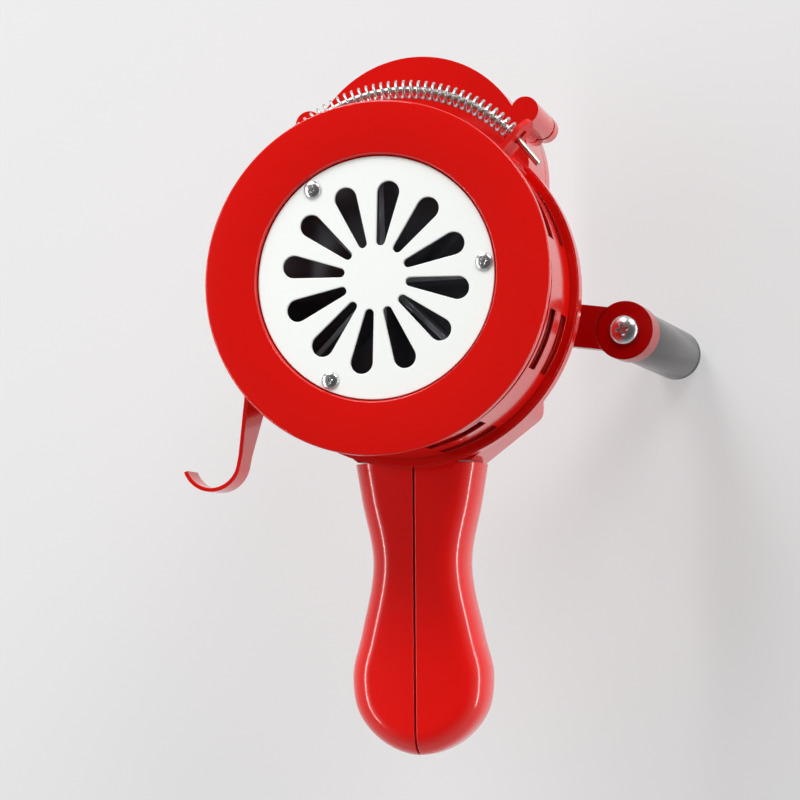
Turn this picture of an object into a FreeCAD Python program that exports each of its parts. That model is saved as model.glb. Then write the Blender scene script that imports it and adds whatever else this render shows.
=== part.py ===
import FreeCAD, Part
import math
import os
import Sketcher
from FreeCAD import Placement, Rotation, Vector

# Hand crank siren.  All pieces are drawn in the drum frame: X to the right, Y along the rotor axis
# from the front cover towards the crank, Z up, origin where the axis meets the front plane.
# The finished pieces are then shifted so that the origin is the middle of the grip.

DIMENSIONS = [
    ("cover_overhang", 2.0), ("cover_plate", 3.7), ("cover_bevel", 1.5), ("ledge_radius", 40.5),
    ("ledge_plate", 3.0), ("spigot_depth", 5.5), ("spigot_wall", 1.2), ("slip_gap", 0.1),
    ("grille_radius", 48.1), ("grille_sheet", 1.2), ("grille_recess", 1.6), ("grille_gap", 0.4),
    ("petal_inner", 14.4), ("petal_outer", 33.8), ("petal_root", 2.1), ("petal_tip", 4.8),
    ("petal_count", 12), ("petal_turn", 20.5), ("grille_screw_radius", 44.06), ("grille_screw_turn", 5.3),
    ("small_head", 3.5), ("small_head_depth", 1.8), ("small_shank", 1.5), ("grille_screw_length", 5.2),
    ("grille_head_depth", 1.5),
    ("drum_gap", 1.1), ("drum_sheet", 1.0), ("drum_back", 50.5), ("lip_overhang", 3.0),
    ("ring_radius", 68.0), ("ring_sheet", 0.6), ("ring_front", 14.0), ("guide_gap", 0.35),
    ("bead_front", 14.3), ("bead_width", 1.6), ("window_front", 16.5), ("window_rear", 37.3),
    ("window_width", 10.3), ("window_count", 8), ("window_span", 21.0), ("window_turn", 23.5),
    ("flange_overhang", 3.5), ("flange_depth", 6.0), ("web_plate", 3.5), ("rim_wall", 5.0),
    ("drum_screw_offset", 1.2), ("drum_screw_count", 6), ("drum_screw_shank", 1.2),
    ("drum_screw_head", 2.2), ("drum_screw_rise", 1.2),
    ("rotor_gap", 1.4), ("rotor_front", 13.0), ("rotor_back", 49.2), ("rotor_plate", 2.0),
    ("rotor_wall", 1.5), ("rotor_hub", 9.0), ("vane_sheet", 2.0), ("vane_count", 8),
    ("shaft_radius", 4.0), ("bearing_radius", 11.0), ("bearing_width", 7.0), ("bearing_bore_gap", 0.05),
    ("bearing_wall", 3.5), ("bearing_lip", 1.5), ("bearing_spacing", 6.0),
    ("gear_room", 1.475), ("case_front", 64.0), ("case_back", 97.0), ("case_wall", 3.0),
    ("lobe_radius", 5.8), ("lobe_offset", 3.6), ("upper_lobe_turn", 25.7),
    ("lower_lobe_turn", 30.0), ("lobe_notch", 1.5), ("gasket_sheet", 0.6), ("cover_depth", 7.4),
    ("cover_wall", 3.0), ("cover_screw_shank", 1.75), ("cover_screw_length", 20.0),
    ("neck_overhang", 0.5), ("neck_top", 30.0), ("neck_shoulder", 49.6), ("neck_corner", 6.0),
    ("neck_foot", 24.0),
    ("neck_front", 58.0), ("neck_back", 85.0), ("neck_low", 68.5), ("neck_wall", 3.5),
    ("tang_half_width", 7.0), ("tang_depth", 16.0), ("tang_low", 112.0),
    ("gear_module", 1.5), ("tooth_addendum", 0.85), ("tooth_dedendum", 1.2), ("wheel_teeth", 57),
    ("pinion_teeth", 15), ("gear_backlash", 0.3),
    ("wheel_face", 7.0), ("pinion_face", 9.5), ("lay_wheel_front", 74.4), ("lay_pin_radius", 4.0),
    ("lay_bush_wall", 1.5), ("lay_boss", 9.0), ("washer_sheet", 1.0), ("end_play", 0.2),
    ("crank_shaft_radius", 6.0), ("crank_bush_wall", 2.0), ("crank_boss_wall", 4.0),
    ("crank_boss_rise", 3.0), ("bush_flange", 2.5), ("arm_radius", 80.0), ("arm_turn", 8.0),
    ("arm_plate", 7.0), ("arm_width", 18.4), ("arm_hub", 13.0), ("arm_eye", 12.6), ("eye_depth", 11.5),
    ("arm_gap", 0.3), ("arm_bore", 5.0), ("crank_nut", 7.5), ("crank_nut_depth", 6.5),
    ("knob_splay", 5.5), ("knob_radius", 11.5), ("knob_length", 79.0), ("knob_round", 4.8),
    ("knob_screw_shank", 3.0), ("knob_head", 6.3), ("knob_head_depth", 3.6),
    ("spindle_radius", 4.8), ("spindle_length", 69.0), ("spindle_head", 8.0),
    ("spindle_head_depth", 2.5), ("knob_bore_gap", 0.08), ("cap_depth", 5.0), ("cap_spigot", 2.0),
    ("grip_front", 56.5), ("grip_back", 85.5), ("grip_round", 10.0), ("grip_wall", 3.0),
    ("grip_seam", 0.8), ("grip_centre_depth", 71.0), ("grip_centre_level", 125.0),
    ("grip_boss", 5.0), ("grip_screw_shank", 2.0), ("grip_screw_head", 3.8),
    ("grip_screw_upper", 80.0), ("grip_screw_pitch", 20.0), ("grip_screw_lower", 163.0),
    ("rod_radius", 1.4), ("rod_arc_inset", 4.0), ("rod_centre_side", 3.0), ("rod_centre_level", 15.5),
    ("rod_depth", 26.0), ("rod_free_turn", 27.5), ("rod_fixed_turn", 138.0), ("rod_bend", 4.0),
    ("spring_wire", 0.575), ("spring_mean", 3.45), ("spring_turns", 32), ("spring_fixed_turn", 129.0),
    ("stop_radius", 4.2), ("stop_length", 2.4),
    ("lug_turn", 47.6), ("lug_sheet", 2.0), ("lug_width", 15.0), ("lug_hole_height", 10.2),
    ("lug_slot_reach", 3.0), ("lug_slot_gap", 0.5), ("lug_foot_turn", 9.0), ("rivet_radius", 1.5),
    ("rivet_head", 2.6), ("rivet_rise", 1.0), ("lug_rivet_turn", 5.6), ("lug_rivet_side", 4.2),
    ("lever_rivet_turn", 3.5), ("lever_rivet_edge", 5.7), ("lever_taper_reach", 4.4),
    ("lever_sheet", 1.6), ("lever_front", 13.0), ("lever_root_width", 26.0), ("lever_tip_width", 12.0),
    ("lever_pad_turn", 186.0), ("lever_bend_turn", 215.0), ("lever_lean", 11.3), ("lever_run", 32.9),
    ("lever_hook", 11.0), ("lever_hook_turn", 148.0),
    ("ring_end_gap", 0.3), ("hole_gap", 0.2), ("tang_gap", 0.3), ("shield_sink", 0.4), ("blind_wall", 1.5),
    ("insert_length", 8.0), ("insert_radius", 3.0), ("grip_head_depth", 2.4), ("grip_seat_upper", 14.4),
    ("grip_seat_lower", 22.0), ("rotor_boss", 6.0), ("spring_seat_gap", 0.2), ("hub_sink", 2.0),
    ("vane_sink", 1.0), ("rotor_nut_depth", 5.0), ("thread_proud", 1.0), ("washer_rim", 1.0),
    ("spacer_wall", 2.0), ("wheel_hub_wall", 6.0), ("pinion_overlap", 1.0), ("crank_collar", 2.0),
    ("knob_washer_rim", 2.0), ("knob_screw_reach", 20.7), ("hole_bottom", 1.0), ("bearing_shoulder", 2.0),
]

# The grip's outline from the top to the lowest point: level below the axis, half width.
GRIP_STATIONS = [(69.0, 27.0), (84.0, 24.4), (109.0, 19.7), (139.0, 24.8), (156.0, 28.6),
                 (171.5, 26.0), (184.0, 14.6), (188.7, 0.0)]
for station, (level, half_width) in enumerate(GRIP_STATIONS):
    DIMENSIONS.append(("grip_level_%d" % station, level))
    DIMENSIONS.append(("grip_half_%d" % station, half_width))

doc = FreeCAD.newDocument("hand_crank_siren")
sheet = doc.addObject("Spreadsheet::Sheet", "Sizes")
for row, (alias, number) in enumerate(DIMENSIONS, start=1):
    sheet.set("A%d" % row, alias.replace("_", " "))
    sheet.set("B%d" % row, str(number))
    sheet.setAlias("B%d" % row, alias)
doc.recompute()


class Size:
    """A length or angle that carries its number and the sheet formula it comes from."""

    def __init__(self, value, text):
        self.value = float(value)
        self.text = text

    def __add__(self, other):
        other = sized(other)
        return Size(self.value + other.value, "(%s + %s)" % (self.text, other.text))

    def __sub__(self, other):
        other = sized(other)
        return Size(self.value - other.value, "(%s - %s)" % (self.text, other.text))

    def __mul__(self, other):
        other = sized(other)
        return Size(self.value * other.value, "(%s * %s)" % (self.text, other.text))

    def __truediv__(self, other):
        other = sized(other)
        return Size(self.value / other.value, "(%s / %s)" % (self.text, other.text))

    def __neg__(self):
        return Size(-self.value, "(0 - %s)" % self.text)

    def __radd__(self, other):
        return sized(other) + self

    def __rsub__(self, other):
        return sized(other) - self

    def __rmul__(self, other):
        return sized(other) * self

    def __rtruediv__(self, other):
        return sized(other) / self


def sized(number):
    return number if isinstance(number, Size) else Size(number, repr(float(number)))


def sine(angle):
    return Size(math.sin(math.radians(angle.value)), "sin(%s)" % angle.text)


def cosine(angle):
    return Size(math.cos(math.radians(angle.value)), "cos(%s)" % angle.text)


class Dimensions:
    """The sheet's cells by name."""

    def __getattr__(self, name):
        return Size(sheet.get(name), "Sizes." + name)


D = Dimensions()
ZERO = sized(0)
ORIGIN = Vector(0, -D.grip_centre_depth.value, D.grip_centre_level.value)
ALONG_Y = Rotation(Vector(1, 0, 0), -90)
ALONG_X = Rotation(Vector(0, 1, 0), 90)
nodes = []

# Shares of a piece's own size.
THREAD_SHARE = 0.8      # a thread's radius in its shaft's radius
NUT_CORNER = 2.2        # a nut's corner radius in its bore
NUT_DEPTH = 2.0         # a nut's depth in its bore
RACE_SHARE = 0.45       # a bearing race's wall in half the bearing's section
WEB_SINK = 0.28         # how far each face of a wheel's web is sunk, in the wheel's face
RIM_MODULES = 4         # from a wheel's pitch circle to the inside of its rim
BLIND_SHARE = 0.7       # how far the drum screws reach into the lip
PAST = 1.0              # how far a cutter runs past the face that it opens

# Places that several pieces share.
RING_INNER = D.ring_radius - D.ring_sheet
DRUM_RADIUS = RING_INNER - D.drum_gap
RING_BACK = D.drum_back - D.drum_sheet - D.ring_end_gap
DRUM_INNER = DRUM_RADIUS - D.drum_sheet
ROTOR_RADIUS = DRUM_INNER - D.rotor_gap
COVER_RADIUS = D.ring_radius + D.cover_overhang
LIP_RADIUS = D.ring_radius + D.lip_overhang
FLANGE_RADIUS = D.ring_radius + D.flange_overhang
DRUM_SCREW_RADIUS = D.ring_radius + D.drum_screw_offset
LUG_HOLE_RADIUS = D.ring_radius + D.lug_hole_height
ROD_ARC = D.ring_radius - D.rod_arc_inset
BEAD_RADIUS = RING_INNER - D.guide_gap
GRILLE_BACK = D.grille_recess + D.grille_sheet
FLANGE_BACK = D.drum_back + D.flange_depth
WEB_BACK = D.drum_back + D.web_plate
BEARING_FRONT = D.drum_back + D.bearing_lip
BEARING_REAR = BEARING_FRONT + D.bearing_width + D.bearing_spacing
BOSS_BACK = BEARING_REAR + D.bearing_width
COVER_FRONT = D.case_back + D.gasket_sheet
COVER_BACK = COVER_FRONT + D.cover_depth
COVER_CAVITY = COVER_BACK - D.cover_wall
LAY_WHEEL_BACK = D.lay_wheel_front + D.wheel_face
LAY_PINION_BACK = LAY_WHEEL_BACK + D.pinion_face
PINION_FRONT = D.lay_wheel_front - D.pinion_overlap
PINION_BACK = LAY_WHEEL_BACK + D.pinion_overlap / 2
CRANK_WHEEL_FRONT = LAY_WHEEL_BACK + 2 * D.end_play + D.washer_sheet
CRANK_WHEEL_BACK = CRANK_WHEEL_FRONT + D.wheel_face
CRANK_BUSH_FRONT = CRANK_WHEEL_BACK + D.washer_sheet
CRANK_BOSS_BACK = COVER_BACK + D.crank_boss_rise
ARM_FRONT = CRANK_BOSS_BACK + D.washer_sheet + D.arm_gap
ARM_BACK = ARM_FRONT + D.arm_plate
BEARING_BORE = D.shaft_radius + D.bearing_bore_gap
ROTOR_HUB_FRONT = D.rotor_front + D.hub_sink
GEAR_CENTRE = D.gear_module * (D.wheel_teeth + D.pinion_teeth) / 2
WHEEL_TIP = D.gear_module * (D.wheel_teeth / 2 + D.tooth_addendum)
CASE_INNER = WHEEL_TIP + D.gear_room
CASE_RADIUS = CASE_INNER + D.case_wall
LOBE_CIRCLE_RADIUS = CASE_RADIUS + D.lobe_offset
NECK_HALF_WIDTH = CASE_RADIUS + D.neck_overhang
GRIP_SCREW_MIDDLE = D.grip_screw_upper + D.grip_screw_pitch


# ---------------------------------------------------------------- drawing helpers

def bind(item, prop, size):
    size = sized(size)
    whole = isinstance(getattr(item, prop), int)
    setattr(item, prop, int(size.value) if whole else size.value)
    item.setExpression(prop, size.text)


def put(item, x, y, z, turn=None):
    """Place an item and tie its place to the sheet."""
    x, y, z = sized(x), sized(y), sized(z)
    item.Placement = Placement(Vector(x.value, y.value, z.value), turn or Rotation())
    for axis, size in (("x", x), ("y", y), ("z", z)):
        item.setExpression("Placement.Base." + axis, size.text)
    return item


def rod(x, z, front, back, radius, name="Rod"):
    """A cylinder along the drum axis direction."""
    item = doc.addObject("Part::Cylinder", name)
    bind(item, "Radius", radius)
    bind(item, "Height", sized(back) - front)
    return put(item, x, front, z, ALONG_Y)


def cross_rod(y, z, left, right, radius, name="CrossRod"):
    """A cylinder along X."""
    item = doc.addObject("Part::Cylinder", name)
    bind(item, "Radius", radius)
    bind(item, "Height", sized(right) - left)
    return put(item, left, y, z, ALONG_X)


def box(left, right, front, back, low, high, name="Block"):
    item = doc.addObject("Part::Box", name)
    bind(item, "Length", sized(right) - left)
    bind(item, "Width", sized(back) - front)
    bind(item, "Height", sized(high) - low)
    return put(item, left, front, low)


def fuse(items, name="Union"):
    item = doc.addObject("Part::MultiFuse", name)
    item.Shapes = items
    item.Refine = True
    return item


def cut(base, tools, name="Cut"):
    item = doc.addObject("Part::Cut", name)
    item.Base = base
    item.Tool = tools[0] if len(tools) == 1 else fuse(tools, name + "Tools")
    item.Refine = True
    return item


def new_body(name):
    return doc.addObject("PartDesign::Body", name)


def plane_sketch(body, name, role, offset=None):
    """A sketch on one of the body's origin planes, moved along the plane's normal by offset."""
    sketch = body.newObject("Sketcher::SketchObject", name)
    plane = [item for item in body.Origin.OriginFeatures if item.Role == role][0]
    sketch.AttachmentSupport = [(plane, "")]
    sketch.MapMode = "FlatFace"
    if offset is not None:
        sketch.AttachmentOffset = Placement(Vector(0, 0, offset.value), Rotation())
        sketch.setExpression("AttachmentOffset.Base.z", offset.text)
    return sketch


def dimension(sketch, kind, places, size):
    size = sized(size)
    index = sketch.addConstraint(Sketcher.Constraint(kind, *places, size.value))
    sketch.setExpression("Constraints[%d]" % index, size.text)


def pin_point(sketch, geometry, end, x, y):
    dimension(sketch, "DistanceX", (-1, 1, geometry, end), x)
    dimension(sketch, "DistanceY", (-1, 1, geometry, end), y)


def polygon(sketch, points):
    """A closed outline whose corners are all tied to the sheet."""
    points = [(sized(x), sized(y)) for x, y in points]
    corners = [Vector(x.value, y.value, 0) for x, y in points]
    first = sketch.GeometryCount
    count = len(corners)
    for index in range(count):
        sketch.addGeometry(Part.LineSegment(corners[index], corners[(index + 1) % count]), False)
    for index in range(count):
        sketch.addConstraint(
            Sketcher.Constraint("Coincident", first + index, 2, first + (index + 1) % count, 1))
    for index, (x, y) in enumerate(points):
        pin_point(sketch, first + index, 1, x, y)


def circle(sketch, x, y, radius):
    x, y, radius = sized(x), sized(y), sized(radius)
    index = sketch.addGeometry(Part.Circle(Vector(x.value, y.value, 0), Vector(0, 0, 1), radius.value))
    pin_point(sketch, index, 3, x, y)
    dimension(sketch, "Radius", (index,), radius)


def turned(name, points, x=ZERO, z=ZERO):
    """A body turned about the drum axis direction from a (radius, depth) outline."""
    body = new_body(name)
    sketch = plane_sketch(body, name + "Profile", "XY_Plane")
    polygon(sketch, points)
    turn = body.newObject("PartDesign::Revolution", name + "Turn")
    turn.Profile = sketch
    turn.ReferenceAxis = (sketch, ["V_Axis"])
    turn.Angle = 360
    body.Tip = turn
    put(body, x, ZERO, z)
    return body


def pocket(body, sketch, name, depth=None):
    """Cut a sketch into the body, and make sure that it removes material."""
    doc.recompute()
    before = body.Shape.Volume
    hollow = body.newObject("PartDesign::Pocket", name)
    hollow.Profile = sketch
    if depth is None:
        hollow.Type = "ThroughAll"
    else:
        bind(hollow, "Length", depth)
    body.Tip = hollow
    doc.recompute()
    if not body.Shape.Volume < before - 1e-3:
        hollow.Reversed = True
        doc.recompute()
    if not body.Shape.Volume < before - 1e-3:
        raise RuntimeError("pocket %s removes nothing" % name)
    return hollow


def round_pattern(body, feature, sketch, axis, count, name):
    pattern = body.newObject("PartDesign::PolarPattern", name)
    pattern.Originals = [feature]
    pattern.Axis = (sketch, [axis])
    pattern.Angle = 360
    bind(pattern, "Occurrences", count)
    body.Tip = pattern
    return pattern


def keep(item, label, turn=0.0):
    """Give a finished piece its name and its place in the part's frame."""
    item.Label = label
    base = item.Placement.Base
    for axis in "xyz":
        item.setExpression("Placement.Base." + axis, None)
    lean = Rotation(Vector(0, 1, 0), turn)
    item.Placement = Placement(ORIGIN + lean.multVec(base), lean.multiply(item.Placement.Rotation))
    nodes.append(item)
    return item


def keep_shape(shape, label):
    item = doc.addObject("Part::Feature", label)
    item.Shape = shape
    return keep(item, label)


def group(items, label, turn=0.0):
    item = doc.addObject("Part::Compound", label)
    item.Links = items
    return keep(item, label, turn)


# ---------------------------------------------------------------- fasteners

HEAD_FLAT = 0.55        # share of the head radius that stays flat on top
HEAD_SHOULDER = 0.86
CROSS_REACH = 0.52
CROSS_HALF = 0.11


def pan_screw(name, head, rise, shank, length, recess_share=0.62):
    """A cross recess pan head screw: head face at depth 0, shank towards +Y."""
    outline = [
        (ZERO, ZERO), (head * HEAD_FLAT, ZERO), (head * HEAD_SHOULDER, rise * 0.22),
        (head, rise * 0.6), (head, rise), (shank, rise), (shank, rise + length), (ZERO, rise + length),
    ]
    body = turned(name, outline)
    reach = head * CROSS_REACH
    half = head * CROSS_HALF
    sketch = plane_sketch(body, name + "Cross", "XZ_Plane")
    polygon(sketch, [
        (-reach, -half), (-half, -half), (-half, -reach), (half, -reach), (half, -half), (reach, -half),
        (reach, half), (half, half), (half, reach), (-half, reach), (-half, half), (-reach, half),
    ])
    pocket(body, sketch, name + "Recess", rise * recess_share)
    return body


def hex_nut(name, radius, depth, bore):
    """A hexagon nut along +Y with its front face at depth 0."""
    prism = doc.addObject("Part::Prism", name + "Hex")
    prism.Polygon = 6
    bind(prism, "Circumradius", radius)
    bind(prism, "Height", depth)
    prism.Placement = Placement(Vector(), ALONG_Y)
    return cut(prism, [rod(0, 0, -PAST, sized(depth) + PAST, bore)], name)


def polar(radius, turn):
    """The (x, z) place at a radius and a turn, counted anticlockwise from +X seen from the front."""
    return radius * cosine(turn), radius * sine(turn)


# ---------------------------------------------------------------- front cover and grille

def front_cover():
    outer = D.grille_radius + D.grille_gap
    body = turned("FrontCover", [
        (D.ledge_radius, GRILLE_BACK), (outer, GRILLE_BACK), (outer, D.grille_recess),
        (outer + D.cover_bevel, ZERO), (COVER_RADIUS, ZERO), (COVER_RADIUS, D.cover_plate),
        (DRUM_INNER - D.slip_gap, D.cover_plate),
        (DRUM_INNER - D.slip_gap, D.cover_plate + D.spigot_depth),
        (DRUM_INNER - D.slip_gap - D.spigot_wall, D.cover_plate + D.spigot_depth),
        (DRUM_INNER - D.slip_gap - D.spigot_wall, GRILLE_BACK + D.ledge_plate),
        (D.ledge_radius, GRILLE_BACK + D.ledge_plate),
    ])
    sketch = plane_sketch(body, "CoverTap", "XZ_Plane")
    circle(sketch, D.grille_screw_radius, ZERO, D.small_shank)
    hole = pocket(body, sketch, "CoverTapHole")
    round_pattern(body, hole, sketch, "N_Axis", sized(3), "CoverTaps")
    keep(body, "front_cover", -D.grille_screw_turn.value)


def front_grille():
    body = new_body("FrontGrille")
    blank = plane_sketch(body, "GrilleBlank", "XZ_Plane", -D.grille_recess)
    circle(blank, ZERO, ZERO, D.grille_radius)
    pad = body.newObject("PartDesign::Pad", "GrillePlate")
    pad.Profile = blank
    bind(pad, "Length", D.grille_sheet)
    pad.Reversed = True
    body.Tip = pad
    petal = plane_sketch(body, "PetalHole", "XZ_Plane")
    near, far = D.petal_inner, D.petal_outer
    root, tip = D.petal_root, D.petal_tip
    lean = math.acos((root.value - tip.value) / (far.value - near.value))
    inner = Part.ArcOfCircle(Part.Circle(Vector(near.value, 0, 0), Vector(0, 0, 1), root.value),
                             lean, 2 * math.pi - lean)
    outer = Part.ArcOfCircle(Part.Circle(Vector(far.value, 0, 0), Vector(0, 0, 1), tip.value),
                             -lean, lean)
    spots = [(near.value + root.value * math.cos(lean), root.value * math.sin(lean)),
             (far.value + tip.value * math.cos(lean), tip.value * math.sin(lean))]
    petal.addGeometry(inner)
    petal.addGeometry(outer)
    petal.addGeometry(Part.LineSegment(Vector(spots[0][0], spots[0][1], 0),
                                       Vector(spots[1][0], spots[1][1], 0)))
    petal.addGeometry(Part.LineSegment(Vector(spots[0][0], -spots[0][1], 0),
                                       Vector(spots[1][0], -spots[1][1], 0)))
    for pair in ((0, 1, 2, 1), (1, 2, 2, 2), (0, 2, 3, 1), (1, 1, 3, 2)):
        petal.addConstraint(Sketcher.Constraint("Tangent", *pair))
    pin_point(petal, 0, 3, near, ZERO)
    pin_point(petal, 1, 3, far, ZERO)
    dimension(petal, "Radius", (0,), root)
    dimension(petal, "Radius", (1,), tip)
    hole = pocket(body, petal, "Petal")
    round_pattern(body, hole, petal, "N_Axis", D.petal_count, "Petals")
    screw = plane_sketch(body, "GrilleScrewHole", "XZ_Plane")
    away = D.grille_screw_turn - D.petal_turn
    circle(screw, D.grille_screw_radius * cosine(away), D.grille_screw_radius * sine(away),
           D.small_shank + D.hole_gap)
    clear = pocket(body, screw, "GrilleHole")
    round_pattern(body, clear, screw, "N_Axis", sized(3), "GrilleHoles")
    keep(body, "front_grille", -D.petal_turn.value)


def grille_screws():
    screws = []
    for index in range(3):
        screw = pan_screw("GrilleScrew%d" % index, D.small_head, D.grille_head_depth, D.small_shank,
                          D.grille_screw_length)
        x, z = polar(D.grille_screw_radius, D.grille_screw_turn + 120 * index)
        spin = Rotation(Vector(0, 1, 0), 25 + 40 * index)
        screws.append(put(screw, x, D.grille_recess - D.grille_head_depth, z, spin))
    group(screws, "grille_screws")


# ---------------------------------------------------------------- stator drum and shutter ring

def window_rows(body, name):
    """Two rows of windows round a wall, drawn with one window centred on +Z."""
    half = D.ring_radius * sine(D.window_span / 2)
    sketch = plane_sketch(body, name + "Windows", "XY_Plane")
    for front in (D.window_front, D.window_rear):
        back = front + D.window_width
        polygon(sketch, [(-half, front), (half, front), (half, back), (-half, back)])
    hole = pocket(body, sketch, name + "Window")
    round_pattern(body, hole, sketch, "V_Axis", D.window_count, name + "WindowRound")


WINDOW_LEAN = -D.window_turn.value      # the window drawn on +Z goes to the first window's place


def stator_drum():
    rear_bead = D.window_rear + D.window_width + D.ring_end_gap
    body = turned("StatorDrum", [
        (DRUM_INNER, D.cover_plate), (DRUM_RADIUS, D.cover_plate), (DRUM_RADIUS, D.bead_front),
        (BEAD_RADIUS, D.bead_front), (BEAD_RADIUS, D.bead_front + D.bead_width),
        (DRUM_RADIUS, D.bead_front + D.bead_width), (DRUM_RADIUS, rear_bead),
        (BEAD_RADIUS, rear_bead), (BEAD_RADIUS, D.drum_back - D.drum_sheet),
        (LIP_RADIUS, D.drum_back - D.drum_sheet), (LIP_RADIUS, D.drum_back),
        (DRUM_INNER, D.drum_back),
    ])
    window_rows(body, "Stator")
    hole = plane_sketch(body, "LipHole", "XZ_Plane", -D.drum_back)
    x, z = polar(DRUM_SCREW_RADIUS, -D.window_turn)
    circle(hole, x, z, D.drum_screw_shank)
    tap = body.newObject("PartDesign::Pocket", "LipTap")
    tap.Profile = hole
    bind(tap, "Length", D.drum_sheet * BLIND_SHARE)
    tap.Reversed = True
    body.Tip = tap
    round_pattern(body, tap, hole, "N_Axis", D.drum_screw_count, "LipTaps")
    keep(body, "stator_drum", WINDOW_LEAN)


def shutter_ring():
    body = turned("ShutterRing", [
        (RING_INNER, D.ring_front), (D.ring_radius, D.ring_front), (D.ring_radius, RING_BACK),
        (RING_INNER, RING_BACK),
    ])
    window_rows(body, "Ring")
    doc.recompute()
    shape = body.Shape.copy()
    shape.rotate(Vector(), Vector(0, 1, 0), WINDOW_LEAN)
    for turn, depth in lug_rivet_places() + lever_rivet_places():
        shape = shape.cut(rivet_hole(turn, depth))
    keep_shape(shape, "shutter_ring")


def drum_screws():
    screws = []
    for index in range(int(D.drum_screw_count.value)):
        depth = D.flange_depth + D.drum_sheet * BLIND_SHARE
        screw = pan_screw("DrumScrew%d" % index, D.drum_screw_head, D.drum_screw_rise,
                          D.drum_screw_shank, depth)
        x, z = polar(DRUM_SCREW_RADIUS, 360 / D.drum_screw_count * index)
        put(screw, x, FLANGE_BACK + D.drum_screw_rise, z, Rotation(Vector(0, 0, 1), 180))
        screws.append(screw)
    group(screws, "drum_screws")


# ---------------------------------------------------------------- rotor and its shaft

ROTOR_WALL_INNER = ROTOR_RADIUS - D.rotor_wall
ROTOR_PLATE_FRONT = D.rotor_back - D.rotor_plate


def rotor():
    """The windowed wall, and the plate behind it with its boss."""
    body = turned("Rotor", [
        (ROTOR_WALL_INNER, ROTOR_PLATE_FRONT), (ROTOR_WALL_INNER, D.rotor_front),
        (ROTOR_RADIUS, D.rotor_front), (ROTOR_RADIUS, ROTOR_PLATE_FRONT),
    ])
    window_rows(body, "Rotor")
    keep(body, "rotor", WINDOW_LEAN)
    bore = D.shaft_radius
    keep(turned("RotorPlate", [
        (bore, ROTOR_PLATE_FRONT), (ROTOR_RADIUS, ROTOR_PLATE_FRONT), (ROTOR_RADIUS, D.rotor_back),
        (D.rotor_boss, D.rotor_back), (D.rotor_boss, BEARING_FRONT - D.end_play),
        (bore, BEARING_FRONT - D.end_play),
    ]), "rotor_plate")


def rotor_vanes():
    """The hub and the blades that stand between it and the rotor's wall, halfway between windows."""
    hub = tube_shape(ROTOR_HUB_FRONT, ROTOR_PLATE_FRONT, D.rotor_hub, D.shaft_radius)
    room = tube_shape(D.rotor_front + D.vane_sink, ROTOR_PLATE_FRONT, ROTOR_WALL_INNER, D.rotor_hub)
    thick = D.vane_sheet.value
    reach = D.ring_radius.value
    count = int(D.vane_count.value)
    solids = [hub]
    for index in range(count):
        blade = Part.makeBox(reach, 2 * reach, thick, Vector(0, 0, -thick / 2))
        turn = 360.0 * (index + 0.5) / count + D.window_turn.value
        blade.rotate(Vector(), Vector(0, 1, 0), -turn)
        solids += room.common(blade).Solids
    keep_shape(Part.makeCompound(solids), "rotor_vanes")


def rotor_shaft():
    thread = D.shaft_radius * THREAD_SHARE
    washer = ROTOR_HUB_FRONT - D.washer_sheet
    front = washer - D.rotor_nut_depth - D.thread_proud
    keep(turned("RotorShaft", [
        (ZERO, front), (thread, front), (thread, ROTOR_HUB_FRONT), (D.shaft_radius, ROTOR_HUB_FRONT),
        (D.shaft_radius, PINION_BACK), (ZERO, PINION_BACK),
    ]), "rotor_shaft")
    rim = D.rotor_hub - D.washer_rim
    keep(turned("RotorWasher", [
        (thread, washer), (rim, washer), (rim, ROTOR_HUB_FRONT),
        (thread, ROTOR_HUB_FRONT),
    ]), "rotor_washer")
    nut = hex_nut("RotorNut", thread * NUT_CORNER, D.rotor_nut_depth, thread)
    keep(put(nut, ZERO, washer - D.rotor_nut_depth, ZERO), "rotor_nut")


def bearings():
    for label, front in (("front_bearing", BEARING_FRONT), ("rear_bearing", BEARING_REAR)):
        back = front + D.bearing_width
        race = D.bearing_wall * RACE_SHARE
        shield = D.shield_sink
        keep(turned(label, [
            (BEARING_BORE, front), (BEARING_BORE + race, front), (BEARING_BORE + race, front + shield),
            (D.bearing_radius - race, front + shield), (D.bearing_radius - race, front),
            (D.bearing_radius, front), (D.bearing_radius, back), (D.bearing_radius - race, back),
            (D.bearing_radius - race, back - shield), (BEARING_BORE + race, back - shield),
            (BEARING_BORE + race, back), (BEARING_BORE, back),
        ]), label)
    front = BEARING_FRONT + D.bearing_width + D.end_play
    back = BEARING_REAR - D.end_play
    outer = D.shaft_radius + D.spacer_wall
    keep(turned("BearingSpacer", [
        (D.shaft_radius, front), (outer, front), (outer, back),
        (D.shaft_radius, back),
    ]), "bearing_spacer")


# ---------------------------------------------------------------- gear train

PRESSURE_ANGLE = math.radians(20)
FLANK_STEPS = 4


def involute(angle):
    return math.tan(angle) - angle


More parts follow.
